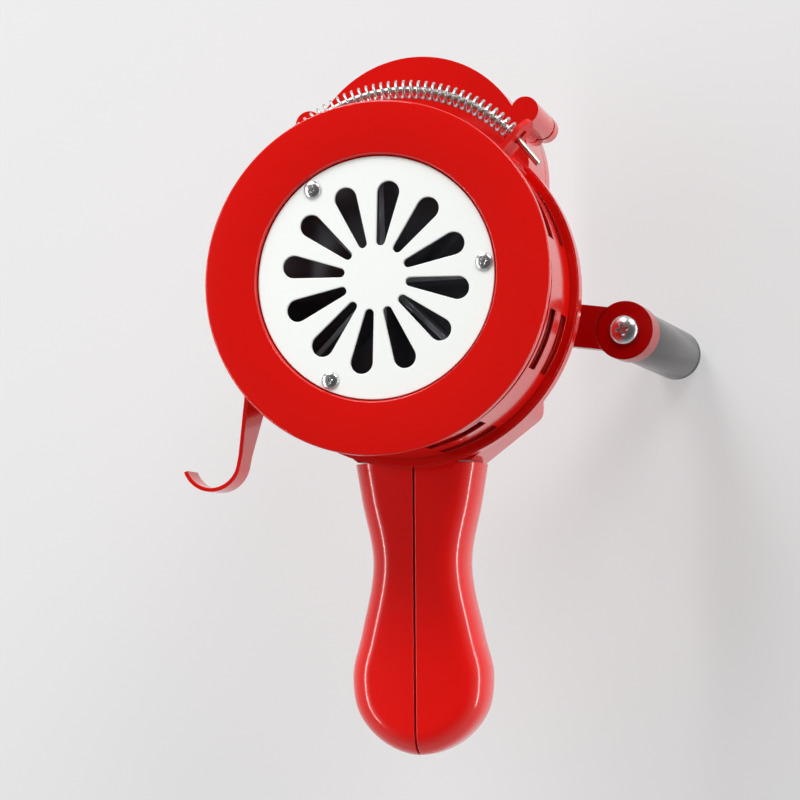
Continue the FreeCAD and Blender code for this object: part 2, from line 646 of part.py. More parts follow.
def gear_outline(teeth):
    """A closed wire in the XZ plane round a spur gear, with a tooth centred on +X."""
    module = D.gear_module.value
    pitch = module * teeth / 2
    base = pitch * math.cos(PRESSURE_ANGLE)
    tip = pitch + D.tooth_addendum.value * module
    root = pitch - D.tooth_dedendum.value * module
    half_tooth = (math.pi * module / 2 - D.gear_backlash.value) / (2 * pitch)
    start = max(base, root)
    flank = []
    for step in range(FLANK_STEPS + 1):
        radius = start + (tip - start) * step / FLANK_STEPS
        slope = math.acos(min(1.0, base / radius))
        flank.append((radius, half_tooth + involute(PRESSURE_ANGLE) - involute(slope)))
    gap = math.pi / teeth
    foot = (root, min(flank[0][1], gap * 0.96))
    half = [foot] + (flank if start > root + 1e-6 else flank[1:])
    corners = []
    for tooth in range(teeth):
        middle = 2 * math.pi * tooth / teeth
        corners += [(radius, middle - angle) for radius, angle in half]
        corners += [(radius, middle + angle) for radius, angle in reversed(half)]
    points = [Vector(radius * math.cos(angle), 0, radius * math.sin(angle)) for radius, angle in corners]
    return Part.makePolygon(points + points[:1])


def gear(teeth, front, face, turn):
    """A solid spur gear about the drum axis direction, turned about it by turn degrees."""
    blank = Part.Face(gear_outline(teeth)).extrude(Vector(0, face.value, 0))
    blank.rotate(Vector(), Vector(0, 1, 0), -turn)
    blank.translate(Vector(0, front.value, 0))
    return blank


def tube_shape(front, back, outer, inner):
    across = Vector(0, 1, 0)
    length = back.value - front.value
    base = Vector(0, front.value, 0)
    return Part.makeCylinder(outer.value, length, base, across).cut(
        Part.makeCylinder(inner.value, length, base, across))


def lightened(wheel, front, face, rim, hub):
    """Sink the web of a large wheel on both faces."""
    depth = face.value * WEB_SINK
    for start in (front.value - PAST, front.value + face.value - depth):
        base = Vector(0, start, 0)
        ring = Part.makeCylinder(rim, depth + PAST, base, Vector(0, 1, 0))
        wheel = wheel.cut(ring.cut(Part.makeCylinder(hub, depth + PAST, base, Vector(0, 1, 0))))
    return wheel


def bored(wheel, front, face, radius):
    start = Vector(0, front.value - PAST, 0)
    hole = Part.makeCylinder(radius.value, face.value + 2 * PAST, start, Vector(0, 1, 0))
    return wheel.cut(hole)


def gear_train():
    wheel_teeth = int(D.wheel_teeth.value)
    pinion_teeth = int(D.pinion_teeth.value)
    wheel_rim = D.gear_module.value * (wheel_teeth / 2 - RIM_MODULES)
    up = Vector(0, 0, GEAR_CENTRE.value)
    pinion_lean = 180.0 / pinion_teeth
    wheel_lean = 180.0 / wheel_teeth
    bush = D.lay_pin_radius + D.lay_bush_wall

    # The rotor pinion has a tooth pointing up, so the lay wheel has a gap pointing down.
    pinion = gear(pinion_teeth, PINION_FRONT, PINION_BACK - PINION_FRONT, 90.0)
    pinion = bored(pinion, PINION_FRONT, PINION_BACK - PINION_FRONT, D.shaft_radius)
    keep_shape(pinion, "rotor_pinion")
    wheel = gear(wheel_teeth, D.lay_wheel_front, D.wheel_face, -90.0 + wheel_lean)
    wheel = bored(wheel, D.lay_wheel_front, D.wheel_face, bush)
    wheel = lightened(wheel, D.lay_wheel_front, D.wheel_face, wheel_rim,
                      (bush + D.wheel_hub_wall).value)
    wheel.translate(up)
    keep_shape(wheel, "lay_gear")

    # The lay pinion has a tooth pointing down, so the crank wheel has a gap pointing up.
    front = LAY_WHEEL_BACK
    pinion = gear(pinion_teeth, front, D.pinion_face, -90.0)
    pinion = bored(pinion, front, D.pinion_face, bush)
    pinion.translate(up)
    keep_shape(pinion, "lay_pinion")
    wheel = gear(wheel_teeth, CRANK_WHEEL_FRONT, D.wheel_face, 90.0 + wheel_lean)
    wheel = bored(wheel, CRANK_WHEEL_FRONT, D.wheel_face, D.crank_shaft_radius)
    wheel = lightened(wheel, CRANK_WHEEL_FRONT, D.wheel_face, wheel_rim,
                      (D.crank_shaft_radius + D.wheel_hub_wall).value)
    keep_shape(wheel, "crank_gear")

    height = GEAR_CENTRE
    running = D.lay_pin_radius + D.bearing_bore_gap
    keep(turned("LayBush", [
        (running, D.lay_wheel_front), (bush, D.lay_wheel_front), (bush, LAY_PINION_BACK),
        (running, LAY_PINION_BACK),
    ], z=height), "lay_bush")
    keep(turned("LayPin", [
        (ZERO, D.case_front + D.blind_wall), (D.lay_pin_radius, D.case_front + D.blind_wall),
        (D.lay_pin_radius, COVER_BACK - D.blind_wall), (ZERO, COVER_BACK - D.blind_wall),
    ], z=height), "lay_pin")
    washers = []
    for index, edge in enumerate((D.lay_wheel_front - D.end_play - D.washer_sheet,
                                  LAY_PINION_BACK + D.end_play)):
        washers.append(turned("LayWasher%d" % index, [
            (D.lay_pin_radius, edge), (D.lay_boss, edge), (D.lay_boss, edge + D.washer_sheet),
            (D.lay_pin_radius, edge + D.washer_sheet),
        ], z=height))
    group(washers, "lay_washers")


def crank_shaft():
    thread = D.arm_bore * THREAD_SHARE
    radius = D.crank_shaft_radius
    collar = radius + D.crank_collar
    nut_front = ARM_BACK + D.washer_sheet
    end = nut_front + D.crank_nut_depth + D.thread_proud
    keep(turned("CrankShaft", [
        (ZERO, CRANK_WHEEL_FRONT), (radius, CRANK_WHEEL_FRONT), (radius, CRANK_WHEEL_BACK),
        (collar, CRANK_WHEEL_BACK), (collar, CRANK_BUSH_FRONT - D.end_play),
        (radius, CRANK_BUSH_FRONT - D.end_play), (radius, ARM_FRONT), (D.arm_bore, ARM_FRONT),
        (D.arm_bore, ARM_BACK), (thread, ARM_BACK), (thread, end), (ZERO, end),
    ]), "crank_shaft")
    bore = radius + D.bearing_bore_gap
    outer = radius + D.crank_bush_wall
    flange = outer + D.bush_flange
    keep(turned("CrankBush", [
        (bore, CRANK_BUSH_FRONT), (outer, CRANK_BUSH_FRONT), (outer, CRANK_BOSS_BACK),
        (flange, CRANK_BOSS_BACK), (flange, CRANK_BOSS_BACK + D.washer_sheet),
        (bore, CRANK_BOSS_BACK + D.washer_sheet),
    ]), "crank_bush")
    rim = D.crank_nut + D.washer_rim
    keep(turned("CrankWasher", [
        (thread, ARM_BACK), (rim, ARM_BACK), (rim, nut_front),
        (thread, nut_front),
    ]), "crank_washer")
    keep(put(hex_nut("CrankNut", D.crank_nut, D.crank_nut_depth, thread), ZERO, nut_front, ZERO),
         "crank_nut")


# ---------------------------------------------------------------- gear case and its cover

def stadium(front, back, radius, name):
    """A solid that follows both gear circles."""
    return [
        rod(0, 0, front, back, radius, name + "Low"),
        rod(0, GEAR_CENTRE, front, back, radius, name + "High"),
        box(-radius, radius, front, back, 0, GEAR_CENTRE, name + "Mid"),
    ]


def lobe_places():
    places = []
    for turn, level in ((D.upper_lobe_turn, GEAR_CENTRE), (-D.lower_lobe_turn, ZERO)):
        for side in (1, -1):
            places.append((side * LOBE_CIRCLE_RADIUS * cosine(turn), level + LOBE_CIRCLE_RADIUS * sine(turn)))
    return places


def neck_prism(name, inset, front, back):
    """The flared neck between the case and the grip, as a body with rounded shoulders."""
    half = NECK_HALF_WIDTH - inset
    foot = D.neck_foot - inset
    body = new_body(name)
    outline = plane_sketch(body, name + "Outline", "XZ_Plane", -front)
    polygon(outline, [
        (-half, -D.neck_top), (-half, -(D.neck_shoulder - inset / 2)),
        (-foot, -(D.neck_low - inset)), (foot, -(D.neck_low - inset)),
        (half, -(D.neck_shoulder - inset / 2)), (half, -D.neck_top),
    ])
    pad = body.newObject("PartDesign::Pad", name + "Pad")
    pad.Profile = outline
    bind(pad, "Length", sized(back) - front)
    pad.Reversed = True
    body.Tip = pad
    doc.recompute()
    corners = []
    level = -(D.neck_shoulder - inset / 2).value
    for index, edge in enumerate(pad.Shape.Edges, start=1):
        ends = [vertex.Point for vertex in edge.Vertexes]
        upright = abs(ends[0].x - ends[1].x) < 1e-6 and abs(ends[0].z - ends[1].z) < 1e-6
        if upright and abs(ends[0].z - level) < 1e-6:
            corners.append("Edge%d" % index)
    fillet = body.newObject("PartDesign::Fillet", name + "Shoulders")
    fillet.Base = (pad, corners)
    bind(fillet, "Radius", D.neck_corner)
    body.Tip = fillet
    return body


def gear_case():
    rim_inner = FLANGE_RADIUS - D.rim_wall
    boss = D.bearing_radius + D.bearing_wall
    lobe_back = D.case_back - D.lobe_notch
    solids = [rod(0, 0, D.drum_back, FLANGE_BACK, FLANGE_RADIUS, "Flange")]
    solids.append(rod(0, 0, FLANGE_BACK, D.case_front + PAST, CASE_RADIUS, "Throat"))
    solids += stadium(D.case_front, D.case_back, CASE_RADIUS, "Case")
    for index, (x, z) in enumerate(lobe_places()):
        solids.append(rod(x, z, D.case_front, lobe_back, D.lobe_radius, "Lobe%d" % index))
    solids.append(neck_prism("Neck", ZERO, D.neck_front, D.neck_back))
    middle = D.grip_centre_depth
    reach = D.tang_depth / 2
    solids.append(box(-D.tang_half_width, D.tang_half_width, middle - reach, middle + reach,
                      -D.tang_low, -(D.neck_low - D.case_wall), "Tang"))

    hollow = stadium(D.case_front + D.case_wall, D.case_back + PAST, CASE_INNER, "Hollow")
    hollow.append(rod(0, 0, WEB_BACK, D.case_front + D.case_wall + PAST, CASE_INNER,
                      "ThroatHollow"))
    hollow.append(neck_prism("NeckHollow", D.neck_wall, D.neck_front + D.neck_wall,
                             D.neck_back - D.neck_wall))
    dish = cut(rod(0, 0, WEB_BACK, FLANGE_BACK + PAST, rim_inner, "Dish"),
               [rod(0, 0, WEB_BACK - PAST, FLANGE_BACK + 2 * PAST, CASE_RADIUS, "DishCore")], "DishRing")
    shell = cut(fuse(solids, "CaseSolids"), hollow + [dish], "CaseShell")

    # Bosses go back in, then everything is drilled.
    bosses = [shell, rod(0, 0, D.drum_back, BOSS_BACK, boss, "BearingBoss")]
    bosses.append(rod(0, GEAR_CENTRE, D.case_front,
                      D.lay_wheel_front - 2 * D.end_play - D.washer_sheet, D.lay_boss, "LayBoss"))
    bosses.append(box(-D.tang_half_width, D.tang_half_width, middle - reach, middle + reach,
                      -D.neck_low, -(CASE_RADIUS - PAST), "TangRoot"))
    drills = [
        rod(0, 0, D.drum_back - PAST, BEARING_FRONT + PAST, D.bearing_radius - D.bearing_shoulder,
            "BearingShoulder"),
        rod(0, 0, BEARING_FRONT, BOSS_BACK + PAST, D.bearing_radius, "BearingSeat"),
        rod(0, GEAR_CENTRE, D.case_front + D.blind_wall, D.lay_wheel_front, D.lay_pin_radius, "LayPinSeat"),
    ]
    for index, (x, z) in enumerate(lobe_places()):
        drills.append(rod(x, z, COVER_BACK - D.cover_screw_length - D.hole_bottom, D.case_back + PAST,
                          D.cover_screw_shank, "LobeTap%d" % index))
    for index in range(int(D.drum_screw_count.value)):
        x, z = polar(DRUM_SCREW_RADIUS, 360 / D.drum_screw_count * index)
        drills.append(rod(x, z, D.drum_back - PAST, FLANGE_BACK + PAST, D.drum_screw_shank + D.hole_gap,
                          "DrumClear%d" % index))
    for index, level in enumerate((D.grip_screw_upper, GRIP_SCREW_MIDDLE)):
        drills.append(cross_rod(middle, -level, -D.tang_half_width - PAST, D.tang_half_width + PAST,
                                D.grip_screw_shank + D.hole_gap, "TangHole%d" % index))
    x, z = rod_tail_place()
    drills.append(rod(x, z, D.case_front - PAST, D.case_front + D.case_wall + PAST, D.rod_radius,
                      "RodSeat"))
    keep(cut(fuse(bosses, "CaseBosses"), drills, "GearCase"), "gear_case")


def gear_cover():
    solids = stadium(COVER_FRONT, COVER_BACK, CASE_RADIUS, "Cover")
    for index, (x, z) in enumerate(lobe_places()):
        solids.append(rod(x, z, COVER_FRONT, COVER_BACK, D.lobe_radius, "CoverLobe%d" % index))
    shell = cut(fuse(solids, "CoverSolids"),
                stadium(COVER_FRONT - PAST, COVER_CAVITY, CASE_INNER, "CoverHollow"), "CoverShell")
    boss = D.crank_shaft_radius + D.crank_bush_wall + D.crank_boss_wall
    lay_face = LAY_PINION_BACK + 2 * D.end_play + D.washer_sheet
    bosses = [
        shell,
        rod(0, 0, CRANK_BUSH_FRONT, CRANK_BOSS_BACK, boss, "CrankBoss"),
        rod(0, GEAR_CENTRE, lay_face, COVER_BACK, D.lay_boss, "CoverLayBoss"),
    ]
    bore = D.crank_shaft_radius + D.crank_bush_wall
    drills = [
        rod(0, 0, CRANK_BUSH_FRONT - PAST, CRANK_BOSS_BACK + PAST, bore, "CrankBore"),
        rod(0, GEAR_CENTRE, lay_face - PAST, COVER_BACK - D.blind_wall, D.lay_pin_radius, "CoverPinSeat"),
    ]
    for index, (x, z) in enumerate(lobe_places()):
        drills.append(rod(x, z, COVER_FRONT - PAST, COVER_BACK + PAST, D.cover_screw_shank + D.hole_gap,
                          "CoverClear%d" % index))
    keep(cut(fuse(bosses, "CoverBosses"), drills, "GearCover"), "gear_cover")

    seal = stadium(D.case_back, COVER_FRONT, CASE_RADIUS - D.grille_gap, "Seal")
    holes = stadium(D.case_back - PAST, COVER_FRONT + PAST, CASE_INNER, "SealHollow")
    keep(cut(fuse(seal, "SealSheet"), holes, "Gasket"), "cover_gasket")

    screws = []
    for index, (x, z) in enumerate(lobe_places()):
        screw = pan_screw("CoverScrew%d" % index, D.small_head, D.small_head_depth,
                          D.cover_screw_shank, D.cover_screw_length)
        put(screw, x, COVER_BACK + D.small_head_depth, z, Rotation(Vector(0, 0, 1), 180))
        screws.append(screw)
    group(screws, "cover_screws")


# ---------------------------------------------------------------- grip

def smooth_outline(points):
    """A curve down the right side and up the left side of the grip."""
    curve = Part.BSplineCurve()
    curve.interpolate(points, InitialTangent=Vector(-0.2, 0, -1), FinalTangent=Vector(-0.2, 0, 1))
    return curve


def grip_outline(inset):
    """The closed outline of the grip in the XZ plane, pulled in by inset."""
    right = []
    for index in range(len(GRIP_STATIONS)):
        half_width = getattr(D, "grip_half_%d" % index).value
        level = getattr(D, "grip_level_%d" % index).value
        right.append(Vector(half_width, 0, -level))
    points = right + [Vector(-point.x, 0, point.z) for point in reversed(right[:-1])]
    curve = smooth_outline(points)
    if inset:
        inner = []
        for point in points:
            heading = curve.tangent(curve.parameter(point))[0]
            inner.append(point + Vector(heading.z, 0, -heading.x) * inset)
        curve = smooth_outline(inner)
    lid = Part.makeLine(curve.EndPoint, curve.StartPoint)
    return Part.Wire([curve.toShape(), lid])


def grip_solid(inset, front, back, rounding):
    face = Part.Face(grip_outline(inset))
    face.translate(Vector(0, front, 0))
    solid = face.extrude(Vector(0, back - front, 0))
    rims = []
    for edge in solid.Edges:
        bounds = edge.BoundBox
        if bounds.YLength < 1e-6 and bounds.ZLength > bounds.XLength:
            rims.append(edge)
    return solid.makeFillet(rounding, rims)


def grip_screw_places():
    """For each grip screw: its level, the inner end of its boss and the seat of its head."""
    beside_tang = D.tang_half_width + D.tang_gap
    return [
        (D.grip_screw_upper, beside_tang, D.grip_seat_upper),
        (GRIP_SCREW_MIDDLE, beside_tang, D.grip_seat_upper),
        (D.grip_screw_lower, D.grip_seam / 2, D.grip_seat_lower),
    ]


def grip_halves():
    wall = D.grip_wall.value
    front, back = D.grip_front.value, D.grip_back.value
    rounding = D.grip_round.value
    outer = grip_solid(0, front, back, rounding)
    inner = grip_solid(wall, front + wall, back - wall, rounding - wall)
    inner = inner.cut(Part.makeBox(8 * wall * wall, 2 * back, 2 * wall, Vector(
        -4 * wall * wall, 0, -D.grip_level_0.value - wall)))
    middle = D.grip_centre_depth.value
    reach = D.tang_depth.value / 2 + D.tang_gap.value
    tang_half = D.tang_half_width.value + D.tang_gap.value
    slot = Part.makeBox(2 * tang_half, 2 * reach, 3 * wall,
                        Vector(-tang_half, middle - reach, -D.grip_level_0.value - 2 * wall))
    shell = outer.cut(inner).cut(slot)
    seam = D.grip_seam.value / 2
    span = D.grip_level_7.value
    for label, side in (("handle_right", 1), ("handle_left", -1)):
        out = Vector(side, 0, 0)
        start = Vector(seam if side > 0 else -seam - span, front - span, -2 * span)
        half = shell.common(Part.makeBox(span, 4 * span, 3 * span, start))
        for level, near, seat in grip_screw_places():
            base = Vector(near.value * side, middle, -level.value)
            boss = Part.makeCylinder(D.grip_boss.value, span, base, out)
            half = half.fuse(boss.common(outer))
        for level, near, seat in grip_screw_places():
            base = Vector(near.value * side, middle, -level.value)
            if side > 0:
                tools = [Part.makeCylinder(D.insert_radius.value, D.insert_length.value, base, out)]
            else:
                shank = D.grip_screw_shank.value + D.hole_gap.value
                sink = Vector(-seat.value, middle, -level.value)
                tools = [
                    Part.makeCylinder(shank, span, base, out),
                    Part.makeCylinder(D.grip_screw_head.value + D.hole_gap.value, span, sink, out),
                ]
            half = half.cut(tools)
        keep_shape(half.removeSplitter(), label)


def grip_fasteners():
    middle = D.grip_centre_depth
    screws = []
    inserts = []
    for index, (level, near, seat) in enumerate(grip_screw_places()):
        screw = pan_screw("GripScrew%d" % index, D.grip_screw_head, D.grip_head_depth,
                          D.grip_screw_shank, seat + near + D.insert_length - D.hole_gap)
        put(screw, -seat - D.grip_head_depth, middle, -level, Rotation(Vector(0, 0, 1), -90))
        screws.append(screw)
        end = near + D.insert_length
        tube = cross_rod(middle, -level, near, end, D.insert_radius, "Insert%d" % index)
        bore = cross_rod(middle, -level, near - PAST, end + PAST, D.grip_screw_shank, "InsertBore%d" % index)
        inserts.append(cut(tube, [bore], "InsertTube%d" % index))
    group(screws, "handle_screws")
    group(inserts, "handle_inserts")


# ---------------------------------------------------------------- crank arm and knob

def knob_axis():
    splay = math.radians(D.knob_splay.value)
    return Vector(math.sin(splay), math.cos(splay), 0)


def on_knob_axis(item, label=None):
    """Lay a piece drawn along +Y onto the knob's axis, and turn it with the arm."""
    splay = Rotation(Vector(0, 0, 1), -D.knob_splay.value)
    for axis in "xyz":
        item.setExpression("Placement.Base." + axis, None)
    start = Placement(Vector(D.arm_radius.value, ARM_FRONT.value, 0), splay)
    item.Placement = start.multiply(item.Placement)
    if label:
        keep(item, label, D.arm_turn.value)
    return item


def crank_arm():
    half = D.arm_width / 2
    eye = on_knob_axis(rod(0, 0, 0, D.eye_depth, D.arm_eye, "EyeBlank"))
    blank = fuse([
        rod(0, 0, ARM_FRONT, ARM_BACK, D.arm_hub, "HubBlank"),
        box(0, D.arm_radius, ARM_FRONT, ARM_BACK, -half, half, "ArmBar"),
        eye,
    ], "ArmBlank")
    hole = doc.addObject("Part::Cylinder", "EyeHole")
    bind(hole, "Radius", D.knob_screw_shank + D.hole_gap)
    bind(hole, "Height", D.eye_depth + 4 * PAST)
    lean = Rotation(Vector(0, 0, 1), -D.knob_splay.value).multiply(ALONG_Y)
    start = Vector(D.arm_radius.value, ARM_FRONT.value, 0) - knob_axis() * (2 * PAST)
    hole.Placement = Placement(start, lean)
    spotface = on_knob_axis(rod(0, 0, -D.knob_head_depth, 0, D.arm_eye, "EyeFace"))
    bore = rod(0, 0, ARM_FRONT - PAST, ARM_BACK + PAST, D.arm_bore, "ArmBore")
    arm = cut(blank, [bore, hole, spotface], "CrankArm")
    keep(arm, "crank_arm", D.arm_turn.value)


def knob():
    start = D.eye_depth + D.washer_sheet
    screw = pan_screw("KnobScrew", D.knob_head, D.knob_head_depth, D.knob_screw_shank,
                      start + D.knob_screw_reach)
    on_knob_axis(screw)
    screw.Placement = Placement(screw.Placement.Base - knob_axis() * D.knob_head_depth.value,
                                screw.Placement.Rotation)
    keep(screw, "knob_screw", D.arm_turn.value)

    rim = D.knob_radius - D.knob_washer_rim
    on_knob_axis(turned("KnobWasher", [
        (D.knob_screw_shank, D.eye_depth), (rim, D.eye_depth), (rim, start),
        (D.knob_screw_shank, start),
    ]), "knob_washer")

    end = start + D.spindle_length
    bore_end = start + D.knob_screw_reach + D.hole_bottom
    on_knob_axis(turned("KnobSpindle", [
        (D.knob_screw_shank, start), (D.spindle_radius, start), (D.spindle_radius, end),
        (D.spindle_head, end), (D.spindle_head, end + D.spindle_head_depth),
        (ZERO, end + D.spindle_head_depth), (ZERO, bore_end), (D.knob_screw_shank, bore_end),
    ]), "knob_spindle")

    front = start + D.end_play
    back = front + D.knob_length
    joint = back - D.cap_depth
    bore = D.spindle_radius + D.knob_bore_gap
    socket = D.spindle_head + D.tang_gap
    on_knob_axis(turned("CrankKnob", [
        (bore, front), (D.knob_radius, front), (D.knob_radius, joint), (socket, joint),
        (socket, end - D.end_play), (bore, end - D.end_play),
    ]), "crank_knob")
    body = turned("KnobCap", [
        (ZERO, joint - D.cap_spigot), (socket, joint - D.cap_spigot), (socket, joint),
        (D.knob_radius, joint), (D.knob_radius, back), (ZERO, back),
    ])
    doc.recompute()
    turn = body.Tip
    rims = [
        "Edge%d" % index for index, edge in enumerate(turn.Shape.Edges, start=1)
        if edge.BoundBox.YLength < 1e-6 and abs(edge.BoundBox.YMax - back.value) < 1e-6
        and edge.Curve.TypeId == "Part::GeomCircle"
    ]
    fillet = body.newObject("PartDesign::Fillet", "KnobEnd")
    fillet.Base = (turn, rims)
    bind(fillet, "Radius", D.knob_round)
    body.Tip = fillet
    on_knob_axis(body, "knob_cap")


# ---------------------------------------------------------------- return spring and its rod

def arc_place(turn, radius=None):
    """A place on the rod's arc in the XZ plane."""
    radius = ROD_ARC if radius is None else radius
    return D.rod_centre_side + radius * cosine(turn), D.rod_centre_level + radius * sine(turn)


def rod_tail_place():
    turn = D.rod_fixed_turn
    x, z = arc_place(turn)
    return x - D.rod_bend * sine(turn), z + D.rod_bend * cosine(turn)


def lug_arc_turn():
    """The turn about the rod's own centre where the rod passes through the lug."""
    aim = math.radians(D.lug_turn.value)
    side, level = D.rod_centre_side.value, D.rod_centre_level.value
    along = side * math.cos(aim) + level * math.sin(aim)
    reach = along + math.sqrt(along ** 2 - side ** 2 - level ** 2 + ROD_ARC.value ** 2)
    return math.degrees(math.atan2(reach * math.sin(aim) - level, reach * math.cos(aim) - side))


def guide_rod():
    depth = D.rod_depth.value
    free, fixed = D.rod_free_turn, D.rod_fixed_turn
    ends = [arc_place(turn) for turn in (free, (free + fixed) / 2, fixed)]
    spots = [Vector(x.value, depth, z.value) for x, z in ends]
    main = Part.Arc(*spots).toShape()
    tail_x, tail_z = [size.value for size in rod_tail_place()]
    bend = D.rod_bend.value
    sine45 = math.sin(math.radians(45))
    aim = math.radians(fixed.value)
    away = Vector(-math.sin(aim), 0, math.cos(aim))
    corner = spots[2] + away * (bend * sine45) + Vector(0, bend * (1 - sine45), 0)
    turn = Part.Arc(spots[2], corner, Vector(tail_x, depth + bend, tail_z)).toShape()
    end = D.case_front.value + D.case_wall.value
    tail = Part.makeLine(Vector(tail_x, depth + bend, tail_z), Vector(tail_x, end, tail_z))
    path = Part.Wire([main, turn, tail])
    facing = Vector(-math.sin(math.radians(free.value)), 0, math.cos(math.radians(free.value)))
    profile = Part.Wire(Part.makeCircle(D.rod_radius.value, spots[0], facing))
    keep_shape(path.makePipeShell([profile], True, True), "guide_rod")
    depth = D.rod_radius * NUT_DEPTH
    nut = hex_nut("RodNut", D.rod_radius * NUT_CORNER, depth, D.rod_radius)
    x, z = rod_tail_place()
    keep(put(nut, x, D.case_front - depth, z), "rod_nut")


def spring_stop():
    """A collar fixed on the rod, which the spring's left end bears on."""
    arc = ROD_ARC.value
    turn = math.radians(D.spring_fixed_turn.value)
    half = math.radians(D.spring_fixed_turn.value) + D.stop_length.value / arc / 2
    centre = Vector(D.rod_centre_side.value + arc * math.cos(half), D.rod_depth.value,
                    D.rod_centre_level.value + arc * math.sin(half))
    along = Vector(-math.sin(half), 0, math.cos(half))
    base = centre - along * (D.stop_length.value / 2)
    collar = Part.makeCylinder(D.stop_radius.value, D.stop_length.value, base, along)
    core = Part.makeTorus(arc, D.rod_radius.value, Vector(D.rod_centre_side.value, D.rod_depth.value,
                                                          D.rod_centre_level.value), Vector(0, 1, 0))
    keep_shape(collar.cut(core), "spring_stop")


COIL_POINTS = 12


def return_spring():
    """A compression spring wound round the rod's arc, as one swept wire."""
    arc = ROD_ARC.value
    mean = D.spring_mean.value
    wire_radius = D.spring_wire.value
    seat = D.spring_seat_gap.value + wire_radius
    start = lug_arc_turn() + math.degrees((D.lug_sheet.value / 2 + seat) / arc)
    end = D.spring_fixed_turn.value - math.degrees(seat / arc)
    turns = int(D.spring_turns.value)
    count = turns * COIL_POINTS
    points = []
    for step in range(count + 1):
        share = step / count
        aim = math.radians(start + (end - start) * share)
        roll = 2 * math.pi * turns * share
        reach = arc + mean * math.cos(roll)
        points.append(Vector(D.rod_centre_side.value + reach * math.cos(aim),
                             D.rod_depth.value + mean * math.sin(roll),
                             D.rod_centre_level.value + reach * math.sin(aim)))
    curve = Part.BSplineCurve()
    curve.interpolate(points)
    heading = curve.tangent(curve.FirstParameter)[0]
    profile = Part.Wire(Part.makeCircle(wire_radius, points[0], heading))
    coil = Part.Wire([curve.toShape()]).makePipeShell([profile], True, True)
    keep_shape(coil, "return_spring")


# ---------------------------------------------------------------- lug and trigger on the ring

def ring_sector(front, back, inner, outer, start, end):
    """A curved plate that follows the ring between two turns."""
    length = back - front
    plate = Part.makeCylinder(outer, length, Vector(0, front, 0), Vector(0, 1, 0), end - start)
    plate = plate.cut(Part.makeCylinder(inner, length, Vector(0, front, 0), Vector(0, 1, 0)))
    # A cylinder about +Y starts its sector on +Z and runs towards +X.
    plate.rotate(Vector(), Vector(0, 1, 0), 90 - end)
    return plate


def rivet_shape(turn, depth, inner, outer):
    """A rivet through the ring: dome outside, shank through both sheets."""
    aim = math.radians(turn)
    out = Vector(math.cos(aim), 0, math.sin(aim))
    base = Vector(0, depth, 0)
    shank = Part.makeCylinder(D.rivet_radius.value, outer - inner, base + out * inner, out)
    dome = Part.makeCone(D.rivet_head.value, D.rivet_radius.value, D.rivet_rise.value,
                         base + out * outer, out)
    return shank.fuse(dome).removeSplitter()


def rivet_hole(turn, depth):
    aim = math.radians(turn)
    out = Vector(math.cos(aim), 0, math.sin(aim))
    return Part.makeCylinder(D.rivet_radius.value, 2 * D.lug_width.value, Vector(0, depth, 0)
                             + out * (D.ring_radius.value - 5), out)


def lug_rivet_places():
    foot = D.lug_turn.value - D.lug_rivet_turn.value
    reach = D.lug_rivet_side.value
    return [(foot, D.rod_depth.value - reach), (foot, D.rod_depth.value + reach)]


def spring_lug():
    radius = D.ring_radius.value
    thick = D.lug_sheet.value
    width = D.lug_width.value
    depth = D.rod_depth.value
    turn = D.lug_turn.value
    foot = ring_sector(depth - width / 2, depth + width / 2, radius, radius + D.lever_sheet.value,
                       turn - D.lug_foot_turn.value, turn)
    # The tab is drawn standing on +X, then turned to its place.
    reach = LUG_HOLE_RADIUS.value
    slot_half = D.rod_radius.value + D.lug_slot_gap.value
    tab = Part.makeBox(reach - radius, width, thick, Vector(radius, depth - width / 2, -thick / 2))
    tab = tab.fuse(Part.makeCylinder(width / 2, thick, Vector(reach, depth, -thick / 2), Vector(0, 0, 1)))
    slot = Part.makeBox(2 * D.lug_slot_reach.value, 2 * slot_half, 3 * thick,
                        Vector(reach - D.lug_slot_reach.value, depth - slot_half, -1.5 * thick))
    tab.rotate(Vector(), Vector(0, 1, 0), -turn)
    slot.rotate(Vector(), Vector(0, 1, 0), -turn)
    lug = foot.fuse(tab).cut(slot)
    lug = lug.cut(Part.makeCylinder(radius, 4 * width, Vector(0, depth - 2 * width, 0), Vector(0, 1, 0)))
    for place in lug_rivet_places():
        lug = lug.cut(rivet_hole(*place))
    keep_shape(lug.removeSplitter(), "spring_lug")
    outer = radius + D.lever_sheet.value
    rivets = [rivet_shape(turn, y, radius - D.ring_sheet.value, outer) for turn, y in lug_rivet_places()]
    keep_shape(Part.makeCompound(rivets), "lug_rivets")


def lever_rivet_places():
    turn = D.lever_pad_turn.value + D.lever_rivet_turn.value
    near = D.lever_front.value + D.lever_rivet_edge.value
    far = D.lever_front.value + D.lever_root_width.value - D.lever_rivet_edge.value
    return [(turn, near), (turn, far)]


